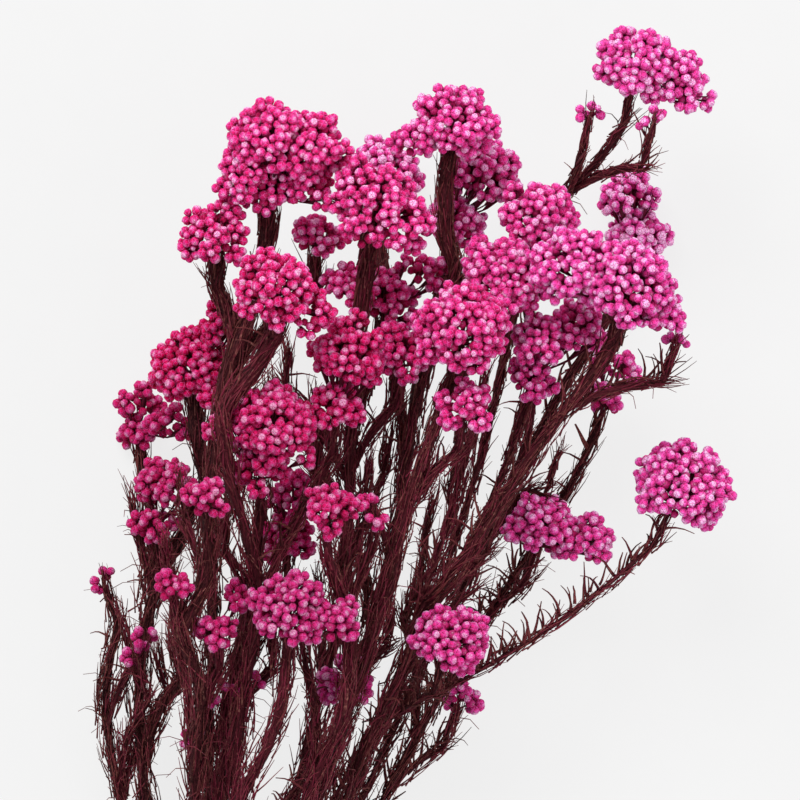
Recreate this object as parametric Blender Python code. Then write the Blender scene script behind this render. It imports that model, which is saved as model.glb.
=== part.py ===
"""A tied bunch of dried rice flower, lying down.

Sixteen leafy stems fan out from a twine tie and carry forty-three heads. Each head is
a dome of tight buds over a tapered underside, and it sits on the tip of its shoot.
Lengths are in millimetres until a mesh is made; +Y runs from the cut ends to the heads,
and the bunch lies on the plane z = 0.
"""

from math import atan2, cos, pi, radians, sin, sqrt

import bmesh
import bpy
import numpy as np
from mathutils import Matrix, Vector

MM = 0.001

# The middle of the bunch's plan, which becomes the origin.
PLAN_MIDDLE = (0.79, -98.92)

# Every stem: the points that its main shoot passes above the tie, and its heads.
# A head is one or more lobes, each (x, y, z, width). The first head ends the main
# shoot, and the others end side shoots.
BUNCH = {
    "01": (
        [(-22, -128, 38), (-4, -99, 48), (26, -88, 53), (58, -66, 56)],
        {"a": [(90, -28, 58, 32)], "b": [(16, -77, 76, 25)]},
    ),
    "02": (
        [(-5, -128, 22), (22, -80, 30)],
        {
            "a": [(66, -1, 32, 14), (70, 10, 30, 17)],
            "b": [(46, -42, 40, 24), (60, -46, 42, 19)],
            "c": [(20, -97, 16, 14)],
        },
    ),
    "03": (
        [(-16, -128, 30), (10, -70, 40), (31, 0, 38), (44, 56, 34)],
        {
            "a": [(76, 107, 60, 28), (88, 101, 58, 23)],
            "b": [(61, 91, 60, 7)],
            "c": [(81, 88, 70, 9)],
        },
    ),
    "04": (
        [(-18, -128, 52), (12, -66, 72), (46, -12, 84)],
        {
            "a": [(72, 35, 94, 30), (54, 42, 92, 27), (82, 27, 90, 17)],
            "b": [(88, 18, 80, 7)],
            "c": [(42, 6, 66, 18), (45, 18, 70, 19), (57, 23, 64, 20)],
        },
    ),
    "05": (
        [(-12, -128, 18), (20, -60, 24), (50, 0, 22)],
        {"a": [(77, 53, 8.4, 21), (74, 66, 10.4, 20)], "b": [(44, 58, 62, 26)]},
    ),
    "06": (
        [(-28, -128, 34), (-6, -64, 44), (5, 0, 54)],
        {
            "a": [(17, 88, 66, 27), (4, 83, 64, 16)],
            "b": [(17, 57, 40, 21), (27, 72, 38, 25)],
            "c": [(-5, 73, 10.2, 25)],
        },
    ),
    "07": (
        [(-26, -128, 62), (-4, -64, 84), (6, -20, 92)],
        {
            "a": [(20, 22, 104, 31)],
            "b": [(34, 38, 80, 29)],
            "c": [(21, -2, 96, 19)],
        },
    ),
    "08": (
        [(-34, -128, 44), (-17, -64, 56), (-16, 0, 62)],
        {
            "a": [(-11, 65, 84, 27), (-2, 58, 86, 21), (-15, 55, 88, 17)],
            "b": [(-5, 32, 52, 21), (-16, 37, 50, 18), (8, 41, 52, 16)],
            "c": [(0, 15, 64, 22)],
        },
    ),
    "09": (
        [(-62, -128, 36), (-60, -64, 50), (-58, 0, 66)],
        {
            "a": [
                (-41, 66, 72, 24), (-40, 79, 78, 29), (-27, 77, 80, 24),
                (-49, 67, 76, 20), (-28, 66, 76, 19),
            ],
            "b": [(-58, 54, 72, 23)],
            "c": [(-27, 52, 48, 18)],
        },
    ),
    "10": (
        [(-54, -128, 60), (-46, -64, 82), (-48, 0, 100)],
        {
            "a": [(-40, 35, 112, 26), (-28, 27, 106, 18)],
            "b": [(-21, -3, 84, 20), (-17, 14, 90, 25)],
        },
    ),
    "11": (
        [(-84, -128, 26), (-82, -64, 26)],
        {
            "a": [(-67, 10, 38, 27), (-57, 0, 44, 17), (-56, 23, 44, 19)],
            "b": [(-85, -12, 5.6, 15), (-84, -2, 8.6, 17), (-75, -8, 17, 17)],
            "c": [(-79, -41, 30, 15), (-75, -28, 32, 20)],
        },
    ),
    "12": (
        [(-58, -128, 46), (-50, -70, 64)],
        {
            "a": [(-44, -22, 92, 20), (-40, -9, 98, 29), (-55, -10, 94, 15)],
            "b": [(-36, -45, 56, 19), (-34, -31, 56, 18)],
        },
    ),
    "13": (
        [(-66, -128, 62), (-62, -90, 84)],
        {
            "a": [(-62, -31, 114, 16)],
            "b": [(-70, -60, 98, 14)],
            "c": [(-61, -73, 88, 15), (-53, -63, 86, 11)],
        },
    ),
    "14": (
        [(-30, -128, 72), (-14, -90, 92)],
        {"a": [(-22, -35, 112, 18)], "b": [(-8, -36, 92, 12)]},
    ),
    "15": (
        [(-92, -128, 20), (-97, -90, 22)],
        {
            "a": [(-95, -59, 26, 9)],
            "b": [(-85, -83, 40, 9), (-81, -77, 42, 8)],
            "c": [(-66, -109, 52, 10)],
        },
    ),
    "16": (
        [(-52, -126, 80), (-36, -100, 92)],
        {
            "a": [(-35, -67, 102, 25), (-21, -71, 100, 17)],
            "b": [(-17, -91, 60, 19)],
            "c": [(-56, -95, 66, 9), (-47, -92, 66, 9)],
        },
    ),
}

# Leafy side shoots that end without a head: the stem and the tip of each.
TWIGS = [
    ("02", (4, -62, 30)),
    ("03", (18, -20, 38)),
    ("04", (30, -40, 60)),
    ("05", (36, -30, 36)),
    ("06", (8, -20, 50)),
    ("07", (-18, -44, 72)),
    ("08", (-36, 14, 60)),
    ("08", (-4, -14, 44)),
    ("08", (-26, -60, 44)),
    ("09", (-42, 2, 48)),
    ("09", (-70, -30, 48)),
    ("10", (-56, -40, 88)),
    ("11", (-86, -34, 24)),
    ("12", (-46, -58, 48)),
    ("13", (-75, -48, 62)),
    ("14", (-30, -72, 84)),
    ("15", (-78, -84, 28)),
    ("06", (-28, -2, 40)),
    ("04", (27, 6, 54)),
    ("06", (-10, -22, 62)),
    ("05", (50, -20, 44)),
    ("04", (10, -34, 58)),
    ("08", (-26, -14, 56)),
    ("15", (-89, -74, 36)),
    ("11", (-73, -80, 46)),
    ("09", (-41, -76, 56)),
    ("06", (-3, -70, 60)),
    ("03", (25, -52, 40)),
]

# Heads that the bunch rests on: they keep their height.
RESTING = ("05_a", "06_c", "11_b")

# The tie, and the cut ends below it.
TIE_MIDDLE = (-48.0, -233.0, 12.05)
TIE_INNER_RADIUS = 10.5
TWINE_WIDTH = 2.0
TWINE_TURNS = 4
TIE_SIDES = 14
KNOT_RADIUS = 2.4
TWINE_END_LENGTH = 17.0
CUT_LENGTH = 84.0
CUT_SPREAD = 1.12
CUT_STAGGER = 9.0
INNER_SLOTS = (5, 4.0)
OUTER_SLOTS = (10, 8.0)
FAN_HUB = (-45.0, -180.0)

# Stems: radii of the woody core, and the room that a leafy shoot keeps round its middle.
BARE_RADIUS = 1.75
LEAFY_RADIUS = 2.1
SIDE_RADIUS = 1.5
TWIG_TIP_RADIUS = 0.8
LEAFY_FROM_Y = -200.0
BARE_ROOM = 2.0
LEAFY_ROOM = 3.0
SIDE_ROOM = 2.7
FLOOR_CLEARANCE = 3.6
STEP = 5.0
LAST_STRAIGHT = 12.0
STRAIGHTEN_TOLERANCE = 0.75
FORK_ANGLE = radians(38)
FORK_COST = 400.0
LOWEST_FORK_Y = -165.0
FLARE_LENGTH = 25.0

# Heads: proportions of a lobe to its half width, and its buds.
TOP_RISE = 0.86
SEAT_DROP = 0.62
SEAT_EXTRA = 1.0
LOBE_SPLAY = 0.35
LOBE_ROOT = 0.12
LOBE_FOOT = 0.3
BUD_SPREAD_DEG = 126.0
BUD_PITCH_MOST = 9.3
BUD_PITCH_LEAST = 3.2
BUD_PITCH_GROWTH = 0.42
BUD_HOLLOW = 0.36
SEAT_SIDES = 5
SEAT_GAP = 0.3
LOBE_FLATNESS = 0.88
HEAD_GAP = 1.0
HEIGHT_MOST = 116.0
TILT_LOW = 0.0
TILT_HIGH = 48.0

# Needles: thread-like leaves on every shoot.
NEEDLE_LENGTH = 10.0
NEEDLE_RADIUS = 0.62
NEEDLE_TIP_RADIUS = 0.12
NEEDLE_PITCH = 26.0
NEEDLE_ANGLES = (radians(34), radians(24), radians(15))
NEEDLE_TRIES = 9
NEEDLE_CLEARANCE = 1.0
GOLDEN_ANGLE = pi * (3 - sqrt(5))

BUD_COLOUR = (0.50, 0.03, 0.19, 1)
STEM_COLOUR = (0.085, 0.016, 0.022, 1)
TWINE_COLOUR = (0.42, 0.29, 0.16, 1)


def unit(vector):
    return vector / np.linalg.norm(vector)


def head_axis(middle):
    """The way a head faces: out along the fan, and turned up the higher it lies."""
    fan = unit(np.array(middle[:2]) - np.array(FAN_HUB))
    fan = unit(0.6 * fan + 0.4 * np.array([0.0, 1.0]))
    tilt = radians(TILT_LOW + (TILT_HIGH - TILT_LOW) * middle[2] / HEIGHT_MOST)
    return np.array([fan[0] * cos(tilt), fan[1] * cos(tilt), sin(tilt)])


class Head:
    """One head: its lobes, the way it faces, and the seat on its shoot's tip."""

    def __init__(self, name, lobes):
        self.name = name
        self.middles = np.array([lobe[:3] for lobe in lobes], float)
        self.half_widths = np.array([lobe[3] / 2 for lobe in lobes], float)
        self.axis = head_axis(self.middles[0])
        self.rests = name in RESTING

    def lobe_axis(self, lobe):
        """The first lobe faces as the head does, and the others splay away from it."""
        if lobe == 0:
            return self.axis
        return unit(self.axis + LOBE_SPLAY * unit(self.middles[lobe] - self.middles[0]))

    def seat(self):
        drop = SEAT_DROP * self.half_widths[0] + SEAT_EXTRA
        return self.middles[0] - self.axis * drop

    def tip_radius(self):
        return min(2.6, 0.55 + 0.14 * self.half_widths[0])

    def keep_out(self):
        """Balls that stand for the head and the straight tip under it."""
        tip = [self.seat() - self.axis * back for back in (4.0, 10.0)]
        middles = np.vstack([self.middles, tip])
        return middles, np.concatenate([self.half_widths, [2.8, 2.8]])


class Tip:
    """The end of a leafy shoot that carries no head."""

    def __init__(self, name, point):
        self.name = name
        self.point = np.array(point, float)
        self.axis = head_axis(self.point)

    def seat(self):
        return self.point

    def tip_radius(self):
        return TWIG_TIP_RADIUS


def flattened_length(gaps, axes):
    """Lengths of the gaps, where a lobe counts as flatter along its axis."""
    along = np.sum(gaps * axes, axis=-1)
    across = np.sum(gaps * gaps, axis=-1) - along**2
    return np.sqrt(np.maximum(across, 0) + (along / LOBE_FLATNESS) ** 2)


def settle_heads(heads, rounds=160):
    """Part the heads that touch, mostly by raising or lowering them."""
    for _ in range(rounds):
        balls = [head.keep_out() for head in heads]
        moves = np.zeros((len(heads), 3))
        for i, (middles_i, radii_i) in enumerate(balls):
            for j in range(i + 1, len(heads)):
                middles_j, radii_j = balls[j]
                gaps = middles_j[None, :, :] - middles_i[:, None, :]
                axis = unit(heads[i].axis + heads[j].axis)
                need = radii_i[:, None] + radii_j[None, :] + HEAD_GAP
                short = need - flattened_length(gaps, axis)
                worst = np.unravel_index(np.argmax(short), short.shape)
                if short[worst] <= 0:
                    continue
                way = gaps[worst] * np.array([0.35, 0.35, 1.0])
                way = unit(way + np.array([0, 0, 0.01]))
                moves[i] -= way * short[worst] * 0.3
                moves[j] += way * short[worst] * 0.3
        for head, move in zip(heads, moves):
            if head.rests:
                move[2] = 0
            head.middles += move
            lowest = np.min(head.middles[:, 2] - 0.9 * head.half_widths)
            highest = np.max(head.middles[:, 2])
            if not head.rests:
                head.middles[:, 2] += max(0, 1.0 - lowest)
                head.middles[:, 2] -= max(0, highest - HEIGHT_MOST)


def smooth_route(route):
    """Points a step apart on a smooth curve through the route's points."""
    route = np.array(route, float)
    knots = np.cumsum(np.linalg.norm(np.diff(route, axis=0), axis=1))
    knots = np.concatenate([[0], knots])
    slopes = np.gradient(route, knots, axis=0)
    at = np.linspace(0, knots[-1], int(knots[-1]) + 2)
    span = np.clip(np.searchsorted(knots, at, side="right") - 1, 0, len(knots) - 2)
    width = (knots[span + 1] - knots[span])[:, None]
    t = (at - knots[span])[:, None] / width
    fine = (
        route[span] * (2 * t**3 - 3 * t**2 + 1)
        + slopes[span] * width * (t**3 - 2 * t**2 + t)
        + route[span + 1] * (3 * t**2 - 2 * t**3)
        + slopes[span + 1] * width * (t**3 - t**2)
    )
    run = np.cumsum(np.linalg.norm(np.diff(fine, axis=0), axis=1))
    run = np.concatenate([[0], run])
    even = np.linspace(0, run[-1], max(3, int(round(run[-1] / STEP)) + 1))
    return np.column_stack([np.interp(even, run, fine[:, k]) for k in range(3)])


def tie_slots():
    """Places of the stems across the tie, from the middle outwards."""
    slots = [(0.0, 0.0)]
    for count, radius in (INNER_SLOTS, OUTER_SLOTS):
        for k in range(count):
            turn = 2 * pi * (k + 0.25) / count
            slots.append((radius * cos(turn), radius * sin(turn)))
    return np.array(slots)


def deal_slots():
    """Give each stem the slot whose bearing is nearest to its own above the tie."""
    names = list(BUNCH)
    above = np.array([(BUNCH[name][0][0][0], BUNCH[name][0][0][2]) for name in names])
    offsets = above - above.mean(axis=0)
    ranked = sorted(range(len(names)), key=lambda k: np.linalg.norm(offsets[k]))
    slots = tie_slots()
    dealt = {names[ranked[0]]: slots[0]}
    inner = INNER_SLOTS[0] + 1
    for ring, members in ((slots[1:inner], ranked[1:inner]), (slots[inner:], ranked[inner:])):
        bearing = sorted(members, key=lambda k: atan2(offsets[k][1], offsets[k][0]))
        turned = sorted(ring, key=lambda slot: atan2(slot[1], slot[0]))
        starts = []
        for start in range(len(ring)):
            rolled = turned[start:] + turned[:start]
            cost = sum(
                -np.dot(unit(offsets[k]), unit(slot)) for k, slot in zip(bearing, rolled)
            )
            starts.append((cost, start))
        start = min(starts)[1]
        rolled = turned[start:] + turned[:start]
        for k, slot in zip(bearing, rolled):
            dealt[names[k]] = slot
    return dealt


class Shoot:
    """A main shoot or a side shoot: its middle line and the stem it belongs to."""

    def __init__(self, stem, head, points, is_main, fixed_start):
        self.stem = stem
        self.head = head
        self.points = points
        self.is_main = is_main
        back = np.linalg.norm(points - points[-1], axis=1)
        self.fixed = back < LAST_STRAIGHT + 0.5
        self.fixed[0] = True
        self.fixed |= fixed_start

    def room(self):
        if not self.is_main:
            return np.full(len(self.points), SIDE_ROOM)
        leafy = np.clip((self.points[:, 1] - TIE_MIDDLE[1] - 8) / 35, 0, 1)
        return BARE_ROOM + (LEAFY_ROOM - BARE_ROOM) * leafy

    def radii(self):
        """Radius of the woody core at each point."""
        if self.is_main:
            leafy = np.clip((self.points[:, 1] - LEAFY_FROM_Y) / 15, 0, 1)
            radii = BARE_RADIUS + (LEAFY_RADIUS - BARE_RADIUS) * leafy
        else:
            radii = np.full(len(self.points), SIDE_RADIUS)
        back = np.linalg.norm(self.points - self.points[-1], axis=1)
        flare = np.clip(1 - back / FLARE_LENGTH, 0, 1)
        return radii + (self.head.tip_radius() - radii) * flare


def main_shoots(heads):
    """Main shoots: from the cut end, through the tie, to the first head's seat."""
    tie = np.array(TIE_MIDDLE)
    shoots = []
    dealt = deal_slots()
    for number, (name, (via, _)) in enumerate(BUNCH.items()):
        head = heads[name + "_a"]
        across = np.array([dealt[name][0], 0.0, dealt[name][1]])
        stagger = CUT_STAGGER * (number * 7 % 16) / 16
        cut = tie + across * CUT_SPREAD - np.array([0, CUT_LENGTH - stagger, 0])
        route = [cut, tie + across - [0, 30, 0], tie + across, tie + across + [0, 9, 0]]
        route += [np.array(point, float) for point in via]
        route += [head.seat() - head.axis * LAST_STRAIGHT, head.seat()]
        points = smooth_route(route)
        points[-3] = head.seat() - head.axis * LAST_STRAIGHT
        points[-2] = head.seat() - head.axis * LAST_STRAIGHT / 2
        at_tie = np.abs(points[:, 1] - tie[1]) < 9
        below = points[:, 1] < tie[1]
        shoots.append(Shoot(name, head, points, True, at_tie | below))
    return shoots


def side_shoot(main, head):
    """A side shoot that leaves its stem where the way to the head's seat is easiest."""
    target = head.seat() - head.axis * LAST_STRAIGHT
    tangents = np.gradient(main.points, axis=0)
    best = None
    for start, tangent in list(zip(main.points, tangents))[1:-3]:
        reach = target - start
        distance = np.linalg.norm(reach)
        if start[1] < LOWEST_FORK_Y or distance < LAST_STRAIGHT:
            continue
        turn = np.arccos(np.clip(np.dot(unit(reach), unit(tangent)), -1, 1))
        cost = distance + FORK_COST * max(0, turn - FORK_ANGLE)
        if best is None or cost < best[0]:
            best = (cost, start, unit(tangent), distance)
    _, start, along, distance = best
    handle = (distance + LAST_STRAIGHT) / 3
    corners = [start, start + along * handle, head.seat() - head.axis * handle, head.seat()]
    t = np.linspace(0, 1, 24)[:, None]
    line = (
        corners[0] * (1 - t) ** 3
        + corners[1] * 3 * t * (1 - t) ** 2
        + corners[2] * 3 * t**2 * (1 - t)
        + corners[3] * t**3
    )
    points = smooth_route(line)
    points[-3] = head.seat() - head.axis * LAST_STRAIGHT
    points[-2] = head.seat() - head.axis * LAST_STRAIGHT / 2
    return Shoot(main.stem, head, points, False, np.zeros(len(points), bool))


def settle_shoots(moving, still, heads, rounds=240):
    """Bend the moving shoots clear of other stems' shoots and of every head."""
    shoots = moving + still
    points = np.vstack([shoot.points for shoot in shoots])
    rest = points.copy()
    room = np.concatenate([shoot.room() for shoot in shoots])
    stem = np.concatenate([[int(s.stem)] * len(s.points) for s in shoots])
    held = np.concatenate(
        [s.fixed if s in moving else np.ones(len(s.points), bool) for s in shoots]
    )
    ends = np.cumsum([0] + [len(s.points) for s in shoots])
    inner = np.concatenate([np.arange(a + 1, b - 1) for a, b in zip(ends, ends[1:])])
    own = {}
    for shoot, start, end in zip(shoots, ends, ends[1:]):
        own.setdefault(shoot.head.name, []).append((start, end))
    for turn in range(rounds):
        if turn % 8 == 0:
            gaps = points[None, :, :] - points[:, None, :]
            near = np.sum(gaps**2, axis=2) < (room[:, None] + room[None, :] + 5) ** 2
            near &= stem[:, None] != stem[None, :]
            first, second = np.nonzero(np.triu(near))
        gap = points[second] - points[first]
        distance = np.linalg.norm(gap, axis=1) + 1e-9
        short = np.maximum(room[first] + room[second] - distance, 0)
        push = gap * (0.35 * short / distance)[:, None]
        moves = np.zeros_like(points)
        np.add.at(moves, first, -push)
        np.add.at(moves, second, push)
        for head in heads:
            for lobe, (middle, half) in enumerate(zip(head.middles, head.half_widths)):
                gaps = points - middle
                size = flattened_length(gaps, head.axis)
                short = np.maximum(half + room + 0.4 - size, 0)
                for start, end in own.get(head.name, []):
                    short[end - 4 : end] = 0
                    if lobe == 0:
                        short[start : end - 4] *= 0.6
                moves += gaps * (0.5 * short / (np.linalg.norm(gaps, axis=1) + 1e-9))[:, None]
        ease = 0.4 * (1 - turn / rounds) + 0.08
        moves[inner] += ease * ((points[inner - 1] + points[inner + 1]) / 2 - points[inner])
        moves += 0.012 * (rest - points)
        moves[held] = 0
        points = points + moves
        low = ~held & (points[:, 2] < FLOOR_CLEARANCE)
        points[low, 2] = FLOOR_CLEARANCE
    for shoot, start, end in zip(shoots, ends, ends[1:]):
        if shoot in moving:
            shoot.points = points[start:end]


def lay_out():
    """Work out where every head and shoot lies."""
    heads = {}
    for stem, (_, members) in BUNCH.items():
        for letter, lobes in members.items():
            name = f"{stem}_{letter}"
            heads[name] = Head(name, lobes)
    settle_heads(list(heads.values()))
    mains = main_shoots(heads)
    settle_shoots(mains, [], list(heads.values()))
    sides = []
    for main in mains:
        for letter in list(BUNCH[main.stem][1])[1:]:
            sides.append(side_shoot(main, heads[f"{main.stem}_{letter}"]))
    settle_shoots(sides, mains, list(heads.values()))
    stems = {main.stem: main for main in mains}
    twigs = []
    for number, (stem, point) in enumerate(TWIGS):
        twigs.append(side_shoot(stems[stem], Tip(f"twig_{number}", point)))
    settle_shoots(twigs, mains + sides, list(heads.values()))
    return heads, mains, sides + twigs


def straightened(points):
    """Indices of the few points that keep a line within the tolerance."""
    keep = {0, len(points) - 1, len(points) - 3}
    spans = [(0, len(points) - 3)]
    while spans:
        start, end = spans.pop()
        if end - start < 2:
            continue
        chord = points[end] - points[start]
        between = points[start + 1 : end] - points[start]
        t = np.clip(between @ chord / (chord @ chord), 0, 1)
        off = np.linalg.norm(between - t[:, None] * chord, axis=1)
        worst = int(np.argmax(off))
        if off[worst] > STRAIGHTEN_TOLERANCE:
            middle = start + 1 + worst
            keep.add(middle)
            spans += [(start, middle), (middle, end)]
    return sorted(keep)


def to_world(point):
    """A laid-out point in metres, measured from the middle of the plan."""
    x, y, z = point
    return Vector(((x - PLAN_MIDDLE[0]) * MM, (y - PLAN_MIDDLE[1]) * MM, z * MM))


def make_collection(name):
    collection = bpy.data.collections.new(name)
    bpy.context.scene.collection.children.link(collection)
    return collection


def make_material(name, colour, roughness):
    material = bpy.data.materials.new(name)
    material.use_nodes = True
    shader = material.node_tree.nodes["Principled BSDF"]
    shader.inputs["Base Color"].default_value = colour
    shader.inputs["Roughness"].default_value = roughness
    shader.inputs["Metallic"].default_value = 0.0
    return material


def mesh_object(name, shape, collection):
    """Turn a finished bmesh into an object."""
    bmesh.ops.recalc_face_normals(shape, faces=shape.faces)
    mesh = bpy.data.meshes.new(name)
    shape.to_mesh(mesh)
    shape.free()
    piece = bpy.data.objects.new(name, mesh)
    collection.objects.link(piece)
    return piece


def tube(name, points, radii, sides_setting, collection):
    """A closed tube along a line, made from a bevelled curve."""
    curve = bpy.data.curves.new(name, "CURVE")
    curve.dimensions = "3D"
    curve.bevel_depth = MM
    curve.bevel_resolution = sides_setting
    curve.use_fill_caps = True
    spline = curve.splines.new("POLY")
    spline.points.add(len(points) - 1)
    for knot, point, radius in zip(spline.points, points, radii):
        knot.co = (*to_world(point), 1)
        knot.radius = radius
    guide = bpy.data.objects.new(name + "_line", curve)
    collection.objects.link(guide)
    graph = bpy.context.evaluated_depsgraph_get()
    mesh = bpy.data.meshes.new_from_object(guide.evaluated_get(graph))
    bpy.data.objects.remove(guide)
    bpy.data.curves.remove(curve)
    shape = bmesh.new()
    shape.from_mesh(mesh)
    bpy.data.meshes.remove(mesh)
    bmesh.ops.remove_doubles(shape, verts=shape.verts, dist=MM * 0.01)
    return mesh_object(name, shape, collection)


def fuse(base, repeats, solver="MANIFOLD"):
    """Join a node's repeats to its base, and remove their collection."""
    join = base.modifiers.new("join", "BOOLEAN")
    join.operation = "UNION"
    join.solver = solver
    join.operand_type = "COLLECTION"
    join.collection = repeats
    graph = bpy.context.evaluated_depsgraph_get()
    mesh = bpy.data.meshes.new_from_object(base.evaluated_get(graph))
    base.modifiers.clear()
    base.data = mesh
    for piece in list(repeats.objects):
        bpy.data.objects.remove(piece)
    bpy.data.collections.remove(repeats)


def rest_flat(piece):
    """Cut away what would reach below the surface, and close the cut."""
    if min(vertex.co.z for vertex in piece.data.vertices) >= 0:
        return
    shape = bmesh.new()
    shape.from_mesh(piece.data)
    cut = bmesh.ops.bisect_plane(
        shape,
        geom=shape.verts[:] + shape.edges[:] + shape.faces[:],
        dist=1e-7,
        plane_co=(0, 0, 0),
        plane_no=(0, 0, -1),
        clear_outer=True,
    )
    rim = [item for item in cut["geom_cut"] if isinstance(item, bmesh.types.BMEdge)]
    bmesh.ops.holes_fill(shape, edges=rim)
    bmesh.ops.triangulate(shape, faces=[face for face in shape.faces if len(face.verts) > 3])
    bmesh.ops.recalc_face_normals(shape, faces=shape.faces)
    shape.to_mesh(piece.data)
    shape.free()


def bud_points(half_width, pitch):
    """Tops of the buds on a lobe that faces +Z: an even spiral over its dome."""
    rise = TOP_RISE * half_width
    reach = 1 - cos(radians(BUD_SPREAD_DEG))
    area = 2 * pi * half_width * (half_width + rise) / 2 * reach
    count = max(8, int(area / (pitch**2 * 0.88)))
    points = []
    for k in range(count):
        height = 1 - reach * (k + 0.35) / count
        turn = k * GOLDEN_ANGLE
        across = sqrt(max(0, 1 - height**2)) * half_width
        points.append((across * cos(turn), across * sin(turn), height * rise))
    return points


def make_lobe(name, head, lobe, collection):
    """A dome of buds with a tapered underside: a hull whose faces sink between buds."""
    half_width = head.half_widths[lobe]
    middle = head.middles[lobe]
    pitch = min(BUD_PITCH_MOST, BUD_PITCH_LEAST + BUD_PITCH_GROWTH * half_width)
    facing = Vector(head.lobe_axis(lobe)).to_track_quat("Z", "Y").to_matrix()
    if lobe == 0:
        foot_radius = head.tip_radius() + 0.4
        foot = head.seat() + head.axis * SEAT_GAP
    else:
        foot_radius = LOBE_FOOT * half_width
        foot = head.middles[0] + LOBE_ROOT * (middle - head.middles[0])
    foot = facing.transposed() @ Vector(foot - middle)
    shape = bmesh.new()
    tops = {shape.verts.new(point) for point in bud_points(half_width, pitch)}
    for k in range(SEAT_SIDES):
        turn = 2 * pi * k / SEAT_SIDES
        spoke = Vector((foot_radius * cos(turn), foot_radius * sin(turn), 0))
        shape.verts.new(foot + spoke)
    bmesh.ops.convex_hull(shape, input=shape.verts)
    buried = [vertex for vertex in shape.verts if not vertex.link_faces]
    tops -= set(buried)
    bmesh.ops.delete(shape, geom=buried, context="VERTS")
    budded = {face for face in shape.faces if all(vertex in tops for vertex in face.verts)}
    ridges = [
        edge
        for edge in shape.edges
        if len(edge.link_faces) == 2 and all(face in budded for face in edge.link_faces)
    ]
    hollow = min(BUD_HOLLOW * pitch, 0.3 * half_width)
    bmesh.ops.poke(shape, faces=list(budded), offset=-hollow, center_mode="MEAN")
    bmesh.ops.rotate_edges(shape, edges=ridges, use_ccw=False)
    place = Matrix.Translation(to_world(middle)) @ facing.to_4x4() @ Matrix.Scale(MM, 4)
    bmesh.ops.transform(shape, matrix=place, verts=shape.verts)
    return mesh_object(name, shape, collection)


def make_head(head, collection, material):
    name = "head_" + head.name
    base = make_lobe(name, head, 0, collection)
    if len(head.middles) > 1:
        more = make_collection(name + "_lobes")
        for lobe in range(1, len(head.middles)):
            make_lobe(f"{name}_lobe_{lobe}", head, lobe, more)
        fuse(base, more)
    rest_flat(base)
    base.data.materials.clear()
    base.data.materials.append(material)
    return base


def side_vectors(along):
    """Two directions square to a line."""
    helper = np.array([0.0, 0.0, 1.0]) if abs(along[2]) < 0.8 else np.array([1.0, 0.0, 0.0])
    first = unit(np.cross(along, helper))
    return first, np.cross(along, first)


class NeedleSpace:
    """What a needle has to stay clear of."""

    def __init__(self, heads, shoots):
        self.heads = heads
        self.points = np.vstack([shoot.points for shoot in shoots])
        self.radii = np.concatenate([shoot.radii() for shoot in shoots])
        self.stems = np.concatenate([[shoot.stem] * len(shoot.points) for shoot in shoots])
        self.taken = []
        self.taken_stems = []

    def is_free(self, stem, line):
        if line[:, 2].min() < 0.5:
            return False
        other = self.stems != stem
        gaps = np.linalg.norm(line[:, None, :] - self.points[None, other, :], axis=2)
        if np.any(gaps < self.radii[other] + NEEDLE_RADIUS + NEEDLE_CLEARANCE):
            return False
        for head in self.heads:
            for middle, half in zip(head.middles, head.half_widths):
                size = flattened_length(line - middle, head.axis)
                if np.any(size < half + NEEDLE_CLEARANCE + NEEDLE_RADIUS):
                    return False
        for taken, taken_stem in zip(self.taken, self.taken_stems):
            if taken_stem == stem or np.linalg.norm(taken[2] - line[2]) > 2.5 * NEEDLE_LENGTH:
                continue
            gaps = np.linalg.norm(line[:, None, :] - taken[None, :, :], axis=2)
            if np.any(gaps < 2 * NEEDLE_RADIUS + NEEDLE_CLEARANCE):
                return False
        return True

    def take(self, stem, line):
        self.taken.append(line)
        self.taken_stems.append(stem)


def needle_lines(shoot, space):
    """Middle lines of a shoot's needles, wound round it and bent clear of the rest."""
    run = np.cumsum(np.linalg.norm(np.diff(shoot.points, axis=0), axis=1))
    run = np.concatenate([[0], run])
    radii = shoot.radii()
    lines = []
    reach = NEEDLE_PITCH / 2
    turn = 0.0
    while reach < run[-1] - 5:
        point = np.array([np.interp(reach, run, shoot.points[:, k]) for k in range(3)])
        ahead = np.array([np.interp(reach + 2, run, shoot.points[:, k]) for k in range(3)])
        radius = np.interp(reach, run, radii)
        reach += NEEDLE_PITCH
        if point[1] < LEAFY_FROM_Y + 6:
            continue
        along = unit(ahead - point)
        first, second = side_vectors(along)
        turn += GOLDEN_ANGLE
        for trial in range(NEEDLE_TRIES):
            angle = NEEDLE_ANGLES[trial // 3]
            swing = turn + (trial % 3) * 2.1
            out = first * cos(swing) + second * sin(swing)
            root = point + out * (radius - 1.1)
            tip = point + out * (radius + sin(angle) * NEEDLE_LENGTH)
            tip = tip + along * cos(angle) * NEEDLE_LENGTH
            line = root + (tip - root) * np.linspace(0.25, 1, 5)[:, None]
            if space.is_free(shoot.stem, line):
                space.take(shoot.stem, line)
                lines.append((root, tip))
                break
    return lines


def make_needle(name, root, tip, collection):
    """One needle: a slender three-sided cone from its root to its tip."""
    start = to_world(root)
    end = to_world(tip)
    length = (end - start).length
    shape = bmesh.new()
    turn_to = (end - start).to_track_quat("Z", "Y").to_matrix().to_4x4()
    bmesh.ops.create_cone(
        shape,
        cap_ends=True,
        segments=3,
        radius1=NEEDLE_RADIUS * MM,
        radius2=NEEDLE_TIP_RADIUS * MM,
        depth=length,
        matrix=Matrix.Translation((start + end) / 2) @ turn_to,
    )
    return mesh_object(name, shape, collection)


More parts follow.
